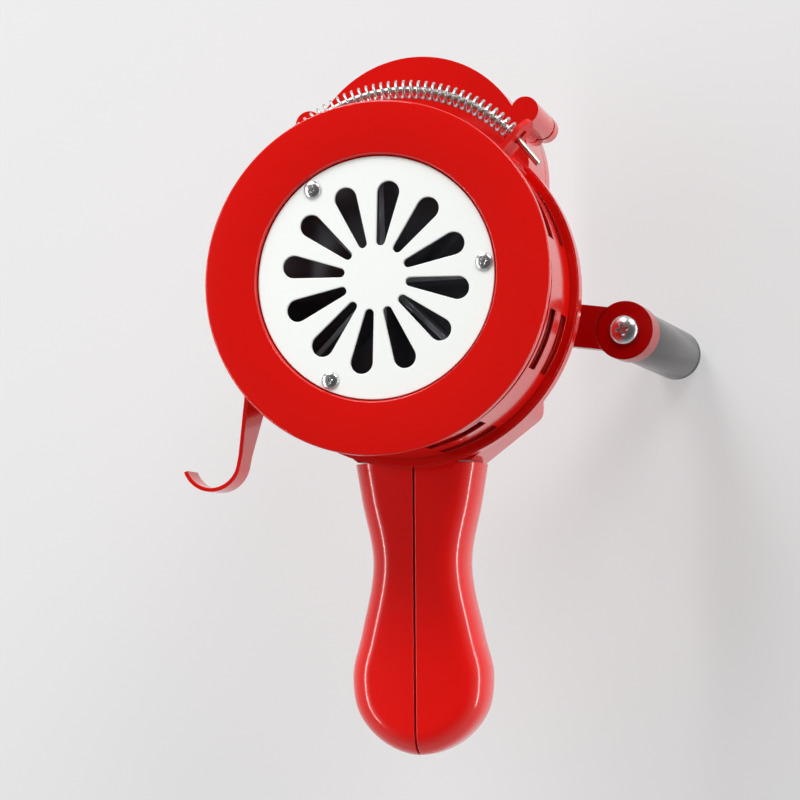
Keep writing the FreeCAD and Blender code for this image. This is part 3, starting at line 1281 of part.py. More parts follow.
def trigger_lever():
    """A sheet strip: a pad on the ring, a straight run down and a hook at the end."""
    radius = D.ring_radius.value
    thick = D.lever_sheet.value
    width = D.lever_root_width.value
    front = D.lever_front.value
    bend = math.radians(D.lever_bend_turn.value)
    pad = ring_sector(front, front + width, radius, radius + thick, D.lever_pad_turn.value,
                      D.lever_bend_turn.value)
    lean = math.radians(D.lever_lean.value)
    along = Vector(-math.sin(lean), 0, -math.cos(lean))
    outward = Vector(-math.cos(lean), 0, math.sin(lean))
    start = Vector(math.cos(bend), 0, math.sin(bend)) * radius
    run = D.lever_run.value
    hook = D.lever_hook.value
    # Outline of the strip in the XZ plane: the run, then the hook that curls outward and up.
    inner_start = start + outward * thick
    knee = start + along * run
    centre = knee + outward * (hook + thick)
    sweep = math.radians(D.lever_hook_turn.value)

    def on_hook(reach, share):
        angle = sweep * share
        return centre - outward * (reach * math.cos(angle)) + along * (reach * math.sin(angle))

    edges = [
        Part.makeLine(start, knee),
        Part.Arc(knee, on_hook(hook + thick, 0.5), on_hook(hook + thick, 1)).toShape(),
        Part.makeLine(on_hook(hook + thick, 1), on_hook(hook, 1)),
        Part.Arc(on_hook(hook, 1), on_hook(hook, 0.5), on_hook(hook, 0)).toShape(),
        Part.makeLine(on_hook(hook, 0), inner_start),
        Part.makeLine(inner_start, start),
    ]
    face = Part.Face(Part.Wire(edges))
    face.translate(Vector(0, front, 0))
    strip = face.extrude(Vector(0, width, 0))
    # Taper both sides of the run from the root width to the tip width.
    step = (width - D.lever_tip_width.value) / 2
    far = 3 * run
    low = knee.z - far
    for side in (front, front + width):
        toward = step if side == front else -step
        outline = Part.makePolygon([
            Vector(0, side, start.z), Vector(0, side + toward, knee.z + D.lever_taper_reach.value),
            Vector(0, side + toward, low), Vector(0, side - toward, low), Vector(0, side - toward, start.z),
            Vector(0, side, start.z)])
        wedge = Part.Face(outline).extrude(Vector(2 * far, 0, 0))
        wedge.translate(Vector(-2 * far, 0, 0))
        strip = strip.cut(wedge)
    lever = pad.fuse(strip)
    lever = lever.cut(Part.makeCylinder(radius, 3 * width, Vector(0, front - width, 0), Vector(0, 1, 0)))
    for place in lever_rivet_places():
        lever = lever.cut(rivet_hole(*place))
    keep_shape(lever.removeSplitter(), "trigger_lever")
    rivets = [rivet_shape(turn, y, radius - D.ring_sheet.value, radius + thick)
              for turn, y in lever_rivet_places()]
    keep_shape(Part.makeCompound(rivets), "trigger_rivets")


def check_and_export():
    doc.recompute()
    for item in doc.Objects:
        if "Invalid" in item.State or "Error" in item.State:
            raise RuntimeError("%s (%s) is in state %s" % (item.Name, item.Label, item.State))
    os.makedirs("parts", exist_ok=True)
    for node in nodes:
        shape = node.Shape
        if shape.isNull() or not shape.isValid():
            raise RuntimeError("%s has no valid shape" % node.Label)
        shape.exportStep("parts/%s.step" % node.Label)
        print("%-16s solids %2d volume %10.1f" % (node.Label, len(shape.Solids), shape.Volume))


front_cover()
front_grille()
grille_screws()
stator_drum()
shutter_ring()
drum_screws()
rotor()
rotor_vanes()
rotor_shaft()
bearings()
gear_train()
crank_shaft()
gear_case()
gear_cover()
grip_halves()
grip_fasteners()
crank_arm()
knob()
guide_rod()
spring_stop()
return_spring()
spring_lug()
trigger_lever()
check_and_export()
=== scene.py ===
"""Looks of the hand crank siren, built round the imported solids.

Lengths are written in millimetres in the drum's own frame: x to the right, y along the rotor shaft
from the front cover towards the crank, z up.  drum() turns them into the part's frame in metres.
"""

import math

import bmesh
import bpy
from mathutils import Matrix, Vector


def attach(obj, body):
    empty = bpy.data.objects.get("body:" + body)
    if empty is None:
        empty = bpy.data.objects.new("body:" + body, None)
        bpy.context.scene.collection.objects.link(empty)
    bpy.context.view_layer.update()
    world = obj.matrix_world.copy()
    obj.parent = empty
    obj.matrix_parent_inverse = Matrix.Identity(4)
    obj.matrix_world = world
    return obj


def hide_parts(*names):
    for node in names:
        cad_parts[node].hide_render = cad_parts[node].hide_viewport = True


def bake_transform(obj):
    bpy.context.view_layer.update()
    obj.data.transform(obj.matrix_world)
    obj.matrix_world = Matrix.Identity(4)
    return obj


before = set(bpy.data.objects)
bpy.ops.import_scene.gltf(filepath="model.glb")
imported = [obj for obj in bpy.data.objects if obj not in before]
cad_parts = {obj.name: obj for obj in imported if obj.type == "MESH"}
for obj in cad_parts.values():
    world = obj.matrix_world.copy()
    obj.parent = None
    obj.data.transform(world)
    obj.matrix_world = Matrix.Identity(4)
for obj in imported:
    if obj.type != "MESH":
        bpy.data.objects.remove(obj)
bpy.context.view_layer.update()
scene = bpy.context.scene

# The part's frame starts this far below the shaft, and this far behind the front cover's face,
# where the middle of the grip is.
GRIP_BELOW_SHAFT = 125.0
GRIP_DEPTH = 71.0
MM = 0.001


def drum(x, y, z):
    """A place in the drum's frame, put into the part's frame in metres."""
    return Vector((x, y - GRIP_DEPTH, z + GRIP_BELOW_SHAFT)) * MM


# ---------------------------------------------------------------- shader building blocks

# Where a Mix node keeps its colour sockets, behind those for numbers and vectors.
MIX_FIRST_COLOUR, MIX_SECOND_COLOUR, MIX_MADE_COLOUR = 6, 7, 2
MOTTLE_SCALE = 40.0
EDGE_ROUNDING = 0.4                     # radius that light sees on a sharp edge, in millimetres


def socket_of(node, name):
    """The input of that name which is in use, as some nodes hold several of one name."""
    for socket in node.inputs:
        if socket.name == name and socket.enabled:
            return socket
    raise KeyError(name)


class Shader:
    """A material's node tree with short calls for the nodes that this file uses."""

    def __init__(self, tree):
        self.tree = tree

    def node(self, kind, **values):
        node = self.tree.nodes.new(kind)
        for name, value in values.items():
            if hasattr(node, name):
                setattr(node, name, value)
            else:
                self.feed(node, name.replace("_", " "), value)
        return node

    def feed(self, node, name, value):
        socket = socket_of(node, name)
        if isinstance(value, bpy.types.NodeSocket):
            self.tree.links.new(value, socket)
        else:
            socket.default_value = value

    def effect(self, group, **values):
        node = self.tree.nodes.new("ShaderNodeGroup")
        node.node_tree = group
        for name, value in values.items():
            self.feed(node, name.replace("_", " "), value)
        return node


def new_effect(name, inputs, outputs):
    """A node group with named sockets, and the two nodes that stand for them inside it."""
    group = bpy.data.node_groups.new(name, "ShaderNodeTree")
    for label, kind, value in inputs:
        socket = group.interface.new_socket(label, in_out="INPUT", socket_type=kind)
        socket.default_value = value
    for label, kind in outputs:
        group.interface.new_socket(label, in_out="OUTPUT", socket_type=kind)
    shader = Shader(group)
    return group, shader, group.nodes.new("NodeGroupInput"), group.nodes.new("NodeGroupOutput")


def build_mottle():
    """Slow drift of a colour and a roughness over a surface, as enamel and moulded plastic have."""
    group, s, given, made = new_effect(
        "mottle",
        [("Colour", "NodeSocketColor", (1, 1, 1, 1)), ("Drift", "NodeSocketFloat", 0.1),
         ("Roughness", "NodeSocketFloat", 0.3), ("Scale", "NodeSocketFloat", 40.0)],
        [("Colour", "NodeSocketColor"), ("Roughness", "NodeSocketFloat")])
    place = s.node("ShaderNodeTexCoord").outputs["Object"]
    noise = s.node("ShaderNodeTexNoise", Vector=place, Scale=given.outputs["Scale"], Detail=4.0,
                   Roughness=0.6)
    lift = s.node("ShaderNodeMapRange")
    s.feed(lift, "Value", noise.outputs["Fac"])
    s.feed(lift, "From Min", 0.3)
    s.feed(lift, "From Max", 0.7)
    spread = s.node("ShaderNodeMath", operation="MULTIPLY")
    s.tree.links.new(lift.outputs["Result"], spread.inputs[0])
    s.tree.links.new(given.outputs["Drift"], spread.inputs[1])
    dim = s.node("ShaderNodeMath", operation="SUBTRACT")
    dim.inputs[0].default_value = 1.0
    s.tree.links.new(spread.outputs[0], dim.inputs[1])
    tint = s.node("ShaderNodeVectorMath", operation="SCALE")
    s.tree.links.new(given.outputs["Colour"], tint.inputs[0])
    s.tree.links.new(dim.outputs[0], tint.inputs["Scale"])
    rough = s.node("ShaderNodeMath", operation="ADD")
    s.tree.links.new(given.outputs["Roughness"], rough.inputs[0])
    s.tree.links.new(spread.outputs[0], rough.inputs[1])
    s.tree.links.new(tint.outputs[0], made.inputs["Colour"])
    s.tree.links.new(rough.outputs[0], made.inputs["Roughness"])
    return group


def build_peel():
    """Fine relief over softly rounded edges: orange peel, moulded grain or a casting's pits."""
    group, s, given, made = new_effect(
        "peel",
        [("Scale", "NodeSocketFloat", 900.0), ("Strength", "NodeSocketFloat", 0.1),
         ("Depth", "NodeSocketFloat", 0.0001), ("Rounding", "NodeSocketFloat", 0.0004)],
        [("Normal", "NodeSocketVector")])
    rounded = s.node("ShaderNodeBevel", samples=4)
    s.feed(rounded, "Radius", given.outputs["Rounding"])
    place = s.node("ShaderNodeTexCoord").outputs["Object"]
    noise = s.node("ShaderNodeTexNoise", Vector=place, Scale=given.outputs["Scale"], Detail=2.0)
    bump = s.node("ShaderNodeBump")
    s.feed(bump, "Height", noise.outputs["Fac"])
    s.feed(bump, "Strength", given.outputs["Strength"])
    s.feed(bump, "Distance", given.outputs["Depth"])
    s.feed(bump, "Normal", rounded.outputs["Normal"])
    s.tree.links.new(bump.outputs["Normal"], made.inputs["Normal"])
    return group


def build_edge_wear_and_sheen():
    """Mixes an edge colour in along sharp edges, broken up by noise: worn paint, and on the rotor's vanes
    partly a painted highlight.
    """
    group, s, given, made = new_effect(
        "edge wear",
        [("Colour", "NodeSocketColor", (1, 1, 1, 1)), ("Worn Colour", "NodeSocketColor", (1, 1, 1, 1)),
         ("Amount", "NodeSocketFloat", 0.3), ("Reach", "NodeSocketFloat", 0.0006)],
        [("Colour", "NodeSocketColor"), ("Mask", "NodeSocketFloat")])
    soft = s.node("ShaderNodeBevel", samples=4)
    s.feed(soft, "Radius", given.outputs["Reach"])
    hard = s.node("ShaderNodeNewGeometry").outputs["Normal"]
    dot = s.node("ShaderNodeVectorMath", operation="DOT_PRODUCT")
    s.tree.links.new(soft.outputs[0], dot.inputs[0])
    s.tree.links.new(hard, dot.inputs[1])
    edge = s.node("ShaderNodeMapRange")
    s.feed(edge, "Value", dot.outputs["Value"])
    s.feed(edge, "From Min", 0.99)
    s.feed(edge, "From Max", 0.75)
    noise = s.node("ShaderNodeTexNoise", Vector=s.node("ShaderNodeTexCoord").outputs["Object"],
                   Scale=220.0, Detail=5.0)
    broken = s.node("ShaderNodeMapRange")
    s.feed(broken, "Value", noise.outputs["Fac"])
    s.feed(broken, "From Min", 0.42)
    s.feed(broken, "From Max", 0.68)
    mask = s.node("ShaderNodeMath", operation="MULTIPLY")
    s.tree.links.new(edge.outputs["Result"], mask.inputs[0])
    s.tree.links.new(broken.outputs["Result"], mask.inputs[1])
    amount = s.node("ShaderNodeMath", operation="MULTIPLY")
    s.tree.links.new(mask.outputs[0], amount.inputs[0])
    s.tree.links.new(given.outputs["Amount"], amount.inputs[1])
    mix = s.node("ShaderNodeMix", data_type="RGBA")
    s.tree.links.new(amount.outputs[0], mix.inputs[0])
    s.tree.links.new(given.outputs["Colour"], mix.inputs[MIX_FIRST_COLOUR])
    s.tree.links.new(given.outputs["Worn Colour"], mix.inputs[MIX_SECOND_COLOUR])
    s.tree.links.new(mix.outputs[MIX_MADE_COLOUR], made.inputs["Colour"])
    s.tree.links.new(amount.outputs[0], made.inputs["Mask"])
    return group


MOTTLE = build_mottle()
PEEL = build_peel()
EDGE_WEAR_AND_SHEEN = build_edge_wear_and_sheen()


def finish_of(name, colour, roughness, metallic=0.0, drift=0.06, peel=(900.0, 0.05), wear_and_sheen=0.0,
              worn_and_sheen=(0.6, 0.6, 0.6, 1.0), coat=0.0, coat_roughness=0.05, ior=1.5):
    """A named finish: a drifting colour, a fine relief and worn edges, whose colour on the rotor is partly a
    painted highlight.
    """
    material = bpy.data.materials.new(name)
    material.use_nodes = True
    s = Shader(material.node_tree)
    surface = material.node_tree.nodes["Principled BSDF"]
    drifted = s.effect(MOTTLE, Colour=colour, Drift=drift, Roughness=roughness, Scale=MOTTLE_SCALE)
    shown = drifted.outputs["Colour"]
    if wear_and_sheen:
        edges = s.effect(EDGE_WEAR_AND_SHEEN, Colour=shown, Amount=wear_and_sheen, Worn_Colour=worn_and_sheen)
        shown = edges.outputs["Colour"]
    relief = s.effect(PEEL, Scale=peel[0], Strength=peel[1], Rounding=EDGE_ROUNDING * MM)
    s.feed(surface, "Base Color", shown)
    s.feed(surface, "Roughness", drifted.outputs["Roughness"])
    s.feed(surface, "Normal", relief.outputs["Normal"])
    surface.inputs["Metallic"].default_value = metallic
    surface.inputs["IOR"].default_value = ior
    surface.inputs["Coat Weight"].default_value = coat
    surface.inputs["Coat Roughness"].default_value = coat_roughness
    return material


RED_ENAMEL = finish_of("red enamel", (0.64, 0.003, 0.0008, 1), 0.13, drift=0.025, peel=(400.0, 0.02),
                       ior=1.45, coat=0.35, coat_roughness=0.06, wear_and_sheen=0.15, worn_and_sheen=(0.75, 0.03, 0.015, 1))
SATIN_ENAMEL = finish_of("satin red enamel", (0.64, 0.003, 0.0008, 1), 0.42, drift=0.03, peel=(500.0, 0.03),
                         ior=1.33, wear_and_sheen=0.15, worn_and_sheen=(0.75, 0.03, 0.015, 1))
# Painted shade: the crank arm has the same red enamel, with it and its worn edge colour darkened because the
# arm lies in shadow behind the drum.
RED_ENAMEL_PAINTED_SHADE = finish_of("crank arm enamel", (0.36, 0.0008, 0.0004, 1), 0.16, drift=0.05,
                            peel=(400.0, 0.04), ior=1.5, wear_and_sheen=0.2, worn_and_sheen=(0.5, 0.015, 0.01, 1))
RED_PLASTIC = finish_of("grip plastic", (0.78, 0.003, 0.001, 1), 0.22, drift=0.03, peel=(900.0, 0.02),
                        ior=1.4, coat=0.55, coat_roughness=0.06)
WHITE_ENAMEL = finish_of("grille white", (0.9, 0.925, 0.895, 1), 0.35, drift=0.012, peel=(800.0, 0.03),
                         ior=1.35, wear_and_sheen=0.15, worn_and_sheen=(0.75, 0.75, 0.74, 1))
DARK_PLASTIC = finish_of("knob plastic", (0.024, 0.022, 0.025, 1), 0.13, drift=0.05, peel=(1500.0, 0.03),
                         ior=1.28)
# Partly painted highlight: the rotor's bluish-white edge colour stands partly for worn bare metal and partly
# for highlights along the vane edges.
ROTOR_METAL = finish_of("rotor casting", (0.26, 0.27, 0.30, 1), 0.36, metallic=0.85, peel=(500.0, 0.1),
                        wear_and_sheen=0.9, worn_and_sheen=(0.68, 0.72, 0.80, 1))
STEEL = finish_of("spring steel", (0.62, 0.62, 0.64, 1), 0.22, metallic=1.0, peel=(1200.0, 0.04))
ROD_STEEL = finish_of("rod steel", (0.64, 0.59, 0.53, 1), 0.26, metallic=1.0, peel=(900.0, 0.05))
GROUND_STEEL = finish_of("ground steel", (0.5, 0.5, 0.52, 1), 0.25, metallic=1.0)
ZINC = finish_of("zinc plate", (0.66, 0.66, 0.67, 1), 0.2, metallic=1.0, peel=(900.0, 0.03))
BRASS = finish_of("bush bronze", (0.66, 0.46, 0.2, 1), 0.35, metallic=1.0)
GASKET = finish_of("gasket rubber", (0.02, 0.02, 0.02, 1), 0.75)

FINISHES = {
    RED_ENAMEL: "front_cover shutter_ring stator_drum gear_case gear_cover trigger_lever trigger_rivets",
    SATIN_ENAMEL: "spring_lug lug_rivets",
    RED_ENAMEL_PAINTED_SHADE: "crank_arm",
    RED_PLASTIC: "handle_left handle_right",
    WHITE_ENAMEL: "front_grille",
    DARK_PLASTIC: "crank_knob knob_cap",
    ROTOR_METAL: "rotor rotor_plate rotor_vanes",
    STEEL: "return_spring",
    ROD_STEEL: "guide_rod spring_stop",
    GROUND_STEEL: "rotor_shaft rotor_washer rotor_nut front_bearing rear_bearing bearing_spacer "
                  "rotor_pinion lay_gear lay_pinion crank_gear lay_pin lay_washers crank_shaft "
                  "knob_spindle",
    ZINC: "grille_screws drum_screws cover_screws handle_screws knob_screw crank_nut knob_washer "
          "crank_washer rod_nut",
    BRASS: "lay_bush crank_bush handle_inserts",
    GASKET: "cover_gasket",
}


def paint(item, material):
    item.data.materials.clear()
    item.data.materials.append(material)


for material, names in FINISHES.items():
    for name in names.split():
        paint(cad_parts[name], material)


# ---------------------------------------------------------------- shape building blocks

WELD = 1e-6                             # corners nearer than this, in metres, are one
CORNER_SHARE = 0.45                     # how much of a side one rounded corner may take


def add_object(name, data):
    item = bpy.data.objects.new(name, data)
    scene.collection.objects.link(item)
    return item


def mesh_object(name, build):
    """Turn a bmesh into an object."""
    mesh = bpy.data.meshes.new(name)
    build.to_mesh(mesh)
    build.free()
    return add_object(name, mesh)


def shown_mesh(item):
    """The mesh that an object shows, with its curve drawn out and its modifiers in it."""
    bpy.context.view_layer.update()
    return bpy.data.meshes.new_from_object(item.evaluated_get(bpy.context.evaluated_depsgraph_get()))


def drawn_mesh(name, curve):
    """The mesh of a curve."""
    item = add_object(name, curve)
    mesh = shown_mesh(item)
    bpy.data.objects.remove(item, do_unlink=True)
    return mesh


def finish_mesh(name, build, material, body, node):
    """Turn a bmesh into a piece that rides on a body and stands for a solid."""
    bmesh.ops.remove_doubles(build, verts=build.verts, dist=WELD)
    bmesh.ops.recalc_face_normals(build, faces=build.faces)
    piece = mesh_object(name, build)
    shade(piece)
    paint(piece, material)
    own(piece, body, node)
    return piece


def shade(piece, edge_angle=35.0):
    """Smooth shading up to an angle between faces, in degrees."""
    piece.data.polygons.foreach_set("use_smooth", [True] * len(piece.data.polygons))
    piece.data.set_sharp_from_angle(angle=math.radians(edge_angle))


def own(piece, body, node):
    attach(piece, body)
    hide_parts(node)


def eased(outline, steps=4):
    """Round the corners of a closed outline of (u, v, rounding) points."""
    points = []
    count = len(outline)
    for index, (*place, rounding) in enumerate(outline):
        here = Vector(place)
        if rounding <= 0:
            points.append(here)
            continue
        before = Vector(outline[index - 1][:2]) - here
        after = Vector(outline[(index + 1) % count][:2]) - here
        half = before.angle(after) / 2
        reach = min(rounding / math.tan(half), before.length * CORNER_SHARE, after.length * CORNER_SHARE)
        curve = reach * math.tan(half)
        centre = here + (before.normalized() + after.normalized()).normalized() * (curve / math.sin(half))
        start = here + before.normalized() * reach - centre
        end = here + after.normalized() * reach - centre
        sweep = start.angle_signed(end)
        for step in range(steps + 1):
            angle = -sweep * step / steps
            turned_start = Vector((start.x * math.cos(angle) - start.y * math.sin(angle),
                                   start.x * math.sin(angle) + start.y * math.cos(angle)))
            points.append(centre + turned_start)
    return points


def spin(name, outline, material, body, node, segments, placing=drum):
    """A piece turned about an axis from a closed (radius, depth) outline in millimetres."""
    build = bmesh.new()
    rings = []
    for step in range(segments):
        angle = 2 * math.pi * step / segments
        rings.append([build.verts.new(placing(radius * math.cos(angle), depth, radius * math.sin(angle)))
                      for radius, depth in outline])
    count = len(outline)
    for ring, after in zip(rings, rings[1:] + rings[:1]):
        for index in range(count):
            following = (index + 1) % count
            build.faces.new((ring[index], ring[following], after[following], after[index]))
    return finish_mesh(name, build, material, body, node)


def carved(piece, cutters):
    """Cut mesh objects out of a piece for good."""
    for cutter in cutters:
        cut = piece.modifiers.new("cut", "BOOLEAN")
        cut.operation = "DIFFERENCE"
        cut.solver = "EXACT"
        cut.object = cutter
    bake_modifiers(piece)
    for cutter in cutters:
        bpy.data.objects.remove(cutter, do_unlink=True)


def bake_modifiers(piece):
    mesh = shown_mesh(piece)
    piece.modifiers.clear()
    piece.data = mesh


def cylinder_cutter(start, end, radius):
    """A plain round cutter between two places in the part's frame."""
    build = bmesh.new()
    axis = end - start
    bmesh.ops.create_cone(build, cap_ends=True, segments=48, radius1=radius * MM, radius2=radius * MM,
                          depth=axis.length)
    turn = axis.to_track_quat("Z", "Y").to_matrix().to_4x4()
    middle = Matrix.Translation((start + end) / 2)
    bmesh.ops.transform(build, matrix=middle @ turn, verts=build.verts)
    return mesh_object("cutter", build)


def soften(piece, width, angle=50.0):
    """Round a solid's sharp edges by a modifier, and leave its mesh as it is."""
    bevel = piece.modifiers.new("softened edges", "BEVEL")
    bevel.width = width * MM
    bevel.segments = 3
    bevel.limit_method = "ANGLE"
    bevel.angle_limit = math.radians(angle)
    bevel.miter_outer = "MITER_ARC"


# ---------------------------------------------------------------- front cover

COVER_RADIUS, COVER_RIM_DEPTH = 70.0, 3.7
COVER_BORE, COVER_SHEET_BACK = 40.5, 5.8
COVER_FRONT, COVER_LIP_RADIUS = 0.0, 49.1           # the seat's wall flares towards the front
SEAT_RADIUS, SEAT_DEPTH = 48.5, 2.8                 # where the grille plate lies
SPIGOT_INNER, SPIGOT_OUTER, SPIGOT_DEPTH = 64.0, 65.2, 9.2
GRILLE_FRONT, GRILLE_SHEET, GRILLE_RADIUS = 1.6, 1.2, 48.0


def build_front_cover():
    outline = eased([(COVER_BORE, SEAT_DEPTH, 0.2), (SEAT_RADIUS, SEAT_DEPTH, 0.1),
                     (SEAT_RADIUS, GRILLE_FRONT, 0.2), (COVER_LIP_RADIUS, COVER_FRONT, 0.35),
                     (COVER_RADIUS, COVER_FRONT, 0.7), (COVER_RADIUS, COVER_RIM_DEPTH, 0.5),
                     (SPIGOT_OUTER, COVER_RIM_DEPTH, 0.2), (SPIGOT_OUTER, SPIGOT_DEPTH, 0.3),
                     (SPIGOT_INNER, SPIGOT_DEPTH, 0.3), (SPIGOT_INNER, COVER_SHEET_BACK, 0.3),
                     (COVER_BORE, COVER_SHEET_BACK, 0.3)])
    spin("cover_ring", outline, RED_ENAMEL, "housing", "front_cover", segments=256)


# ---------------------------------------------------------------- grille

HOLE_EDGE = 0.28                        # how far the sheet is rolled over at its holes and rim
PETAL_COUNT, PETAL_TURN = 12, 20.5
PETAL_ROOT_PLACE, PETAL_ROOT_RADIUS = 14.4, 2.1
PETAL_TIP_PLACE, PETAL_TIP_RADIUS = 33.8, 4.8
GRILLE_SCREW_COUNT, GRILLE_SCREW_TURN, GRILLE_SCREW_RADIUS = 3, 5.3, 44.06
GRILLE_SCREW_HOLE = 1.7


def closed_spline(curve, points):
    spline = curve.splines.new("POLY")
    spline.points.add(len(points) - 1)
    for point, (x, y) in zip(spline.points, points):
        point.co = (x * MM, y * MM, 0, 1)
    spline.use_cyclic_u = True


def arc_points(x, y, radius, start, sweep, steps):
    return [(x + radius * math.cos(start + sweep * step / steps),
             y + radius * math.sin(start + sweep * step / steps)) for step in range(steps + 1)]


def ring_points(x, y, radius, count):
    """Points all round a circle, without its first one again at the end."""
    return arc_points(x, y, radius, 0.0, 2 * math.pi, count)[:-1]


def petal_points(turn):
    """The outline of one petal shaped hole: a small arc near the middle and a large one outside."""
    lean = math.acos((PETAL_ROOT_RADIUS - PETAL_TIP_RADIUS) / (PETAL_TIP_PLACE - PETAL_ROOT_PLACE))
    points = arc_points(PETAL_ROOT_PLACE, 0.0, PETAL_ROOT_RADIUS, lean, 2 * math.pi - 2 * lean, 8)
    points += arc_points(PETAL_TIP_PLACE, 0.0, PETAL_TIP_RADIUS, -lean, 2 * lean, 16)
    aim = math.radians(turn)
    return [(x * math.cos(aim) - y * math.sin(aim), x * math.sin(aim) + y * math.cos(aim))
            for x, y in points]


def grille_screw_place(index):
    """The x and z of a grille screw."""
    aim = math.radians(GRILLE_SCREW_TURN + 360 / GRILLE_SCREW_COUNT * index)
    return GRILLE_SCREW_RADIUS * math.cos(aim), GRILLE_SCREW_RADIUS * math.sin(aim)


def build_grille():
    """A pressed plate: flat sheet with rolled hole edges."""
    curve = bpy.data.curves.new("grille_plate", "CURVE")
    curve.dimensions = "2D"
    curve.fill_mode = "BOTH"
    closed_spline(curve, ring_points(0, 0, GRILLE_RADIUS - HOLE_EDGE, 192))
    for index in range(PETAL_COUNT):
        closed_spline(curve, petal_points(PETAL_TURN + 360 / PETAL_COUNT * index))
    for index in range(GRILLE_SCREW_COUNT):
        closed_spline(curve, ring_points(*grille_screw_place(index), GRILLE_SCREW_HOLE, 24))
    curve.extrude = (GRILLE_SHEET / 2 - HOLE_EDGE) * MM
    curve.bevel_depth = HOLE_EDGE * MM
    curve.bevel_resolution = 2
    mesh = drawn_mesh("grille_plate", curve)
    # The plate is drawn in XY; its front goes to the drum's front.
    middle = Matrix.Translation(drum(0, GRILLE_FRONT + GRILLE_SHEET / 2, 0))
    mesh.transform(middle @ Matrix.Rotation(math.radians(90), 4, "X"))
    plate = add_object("grille_plate", mesh)
    shade(plate, 30)
    paint(plate, WHITE_ENAMEL)
    own(plate, "housing", "front_grille")


# ---------------------------------------------------------------- grip

# How far below the shaft, and the grip's half width there.
GRIP_STATIONS = [(56.0, 29.4), (69.0, 27.0), (84.0, 24.4), (109.0, 19.7), (139.0, 24.8), (156.0, 28.6),
                 (171.5, 26.0), (184.0, 14.6), (188.7, 0.0)]
GRIP_FRONT, GRIP_BACK, GRIP_ROUNDING = 56.5, 85.5, 10.0
GRIP_TOP = -69.0
SEAM_HALF = 0.4                         # each half's face lies this far from the middle
# How far below the shaft each grip screw is, and how far from the middle its head's seat lies.
GRIP_SCREWS = ((80.0, 14.4), (100.0, 14.4), (163.0, 22.0))
GRIP_SCREW_WELL = 4.0                   # radius of the hole over a screw's head
PAST_GRIP = 60.0                        # a place outside the grip's side


def smooth_through(points, count):
    """Points on a smooth open run through the given (x, z) points, spaced by chord length."""
    places = [Vector(point) for point in points]
    chords = [0.0]
    for here, after in zip(places, places[1:]):
        chords.append(chords[-1] + (after - here).length)
    slopes = []
    for index in range(len(places)):
        low, high = max(index - 1, 0), min(index + 1, len(places) - 1)
        if 0 < index < len(places) - 1:
            before = (places[index] - places[low]) / (chords[index] - chords[low])
            after = (places[high] - places[index]) / (chords[high] - chords[index])
            share = (chords[index] - chords[low]) / (chords[high] - chords[low])
            slopes.append(before * (1 - share) + after * share)
        else:
            slopes.append((places[high] - places[low]) / (chords[high] - chords[low]))
    run = []
    for step in range(count):
        place = chords[-1] * step / (count - 1)
        index = min(max(sum(1 for chord in chords if chord <= place) - 1, 0), len(places) - 2)
        span = chords[index + 1] - chords[index]
        t = (place - chords[index]) / span
        here = places[index] * (2 * t ** 3 - 3 * t ** 2 + 1)
        leaving = slopes[index] * span * (t ** 3 - 2 * t ** 2 + t)
        following = places[index + 1] * (3 * t ** 2 - 2 * t ** 3)
        arriving = slopes[index + 1] * span * (t ** 3 - t ** 2)
        run.append(here + leaving + following + arriving)
    return run


def rounded_section(turn):
    """Inset and depth of the rounded front and back edges, by a turn from front to back."""
    inset = GRIP_ROUNDING * (1 - math.sin(turn))
    if turn < math.pi / 2:
        return inset, GRIP_FRONT + GRIP_ROUNDING * (1 - math.cos(turn))
    return inset, GRIP_BACK - GRIP_ROUNDING * (1 + math.cos(turn))


def keep_side(build, place, normal):
    """Cut off what lies beyond a plane, and close the cut."""
    cut = bmesh.ops.bisect_plane(build, geom=build.verts[:] + build.edges[:] + build.faces[:],
                                 plane_co=place, plane_no=normal, clear_outer=True)
    edges = [item for item in cut["geom_cut"] if isinstance(item, bmesh.types.BMEdge)]
    bmesh.ops.edgeloop_fill(build, edges=edges)


def grip_blank(side):
    """One half of the grip as a closed mesh: rounded rim, flat faces and a flat seam wall."""
    right = [(half, -level) for level, half in GRIP_STATIONS]
    outline = smooth_through(right + [(-x, z) for x, z in reversed(right[:-1])], 161)
    count = len(outline)
    build = bmesh.new()
    rings = []
    steps = 12
    for step in range(steps + 1):
        inset, depth = rounded_section(math.pi * step / steps)
        ring = []
        for index, place in enumerate(outline):
            heading = outline[min(index + 1, count - 1)] - outline[max(index - 1, 0)]
            inward = Vector((heading.y, -heading.x)).normalized()
            ring.append(build.verts.new(drum(place.x + inward.x * inset, depth, place.y + inward.y * inset)))
        rings.append(ring)
    for ring, after in zip(rings, rings[1:]):
        for index in range(count - 1):
            build.faces.new((ring[index], ring[index + 1], after[index + 1], after[index]))
    build.faces.new(rings[0])
    build.faces.new(rings[-1])
    build.faces.new([ring[0] for ring in rings] + [ring[-1] for ring in reversed(rings)])
    keep_side(build, drum(0, 0, GRIP_TOP), Vector((0, 0, 1)))
    keep_side(build, drum(SEAM_HALF * side, 0, 0), Vector((-side, 0, 0)))
    return build


def build_grip():
    for name, side, node in (("grip_right", 1, "handle_right"), ("grip_left", -1, "handle_left")):
        half = finish_mesh(name, grip_blank(side), RED_PLASTIC, "housing", node)
        if side < 0:
            carved(half, [cylinder_cutter(drum(-seat, GRIP_DEPTH, -level),
                                          drum(-PAST_GRIP, GRIP_DEPTH, -level), GRIP_SCREW_WELL)
                          for level, seat in GRIP_SCREWS])
            shade(half)
        soften(half, 0.5)


# ---------------------------------------------------------------- return spring and its rod

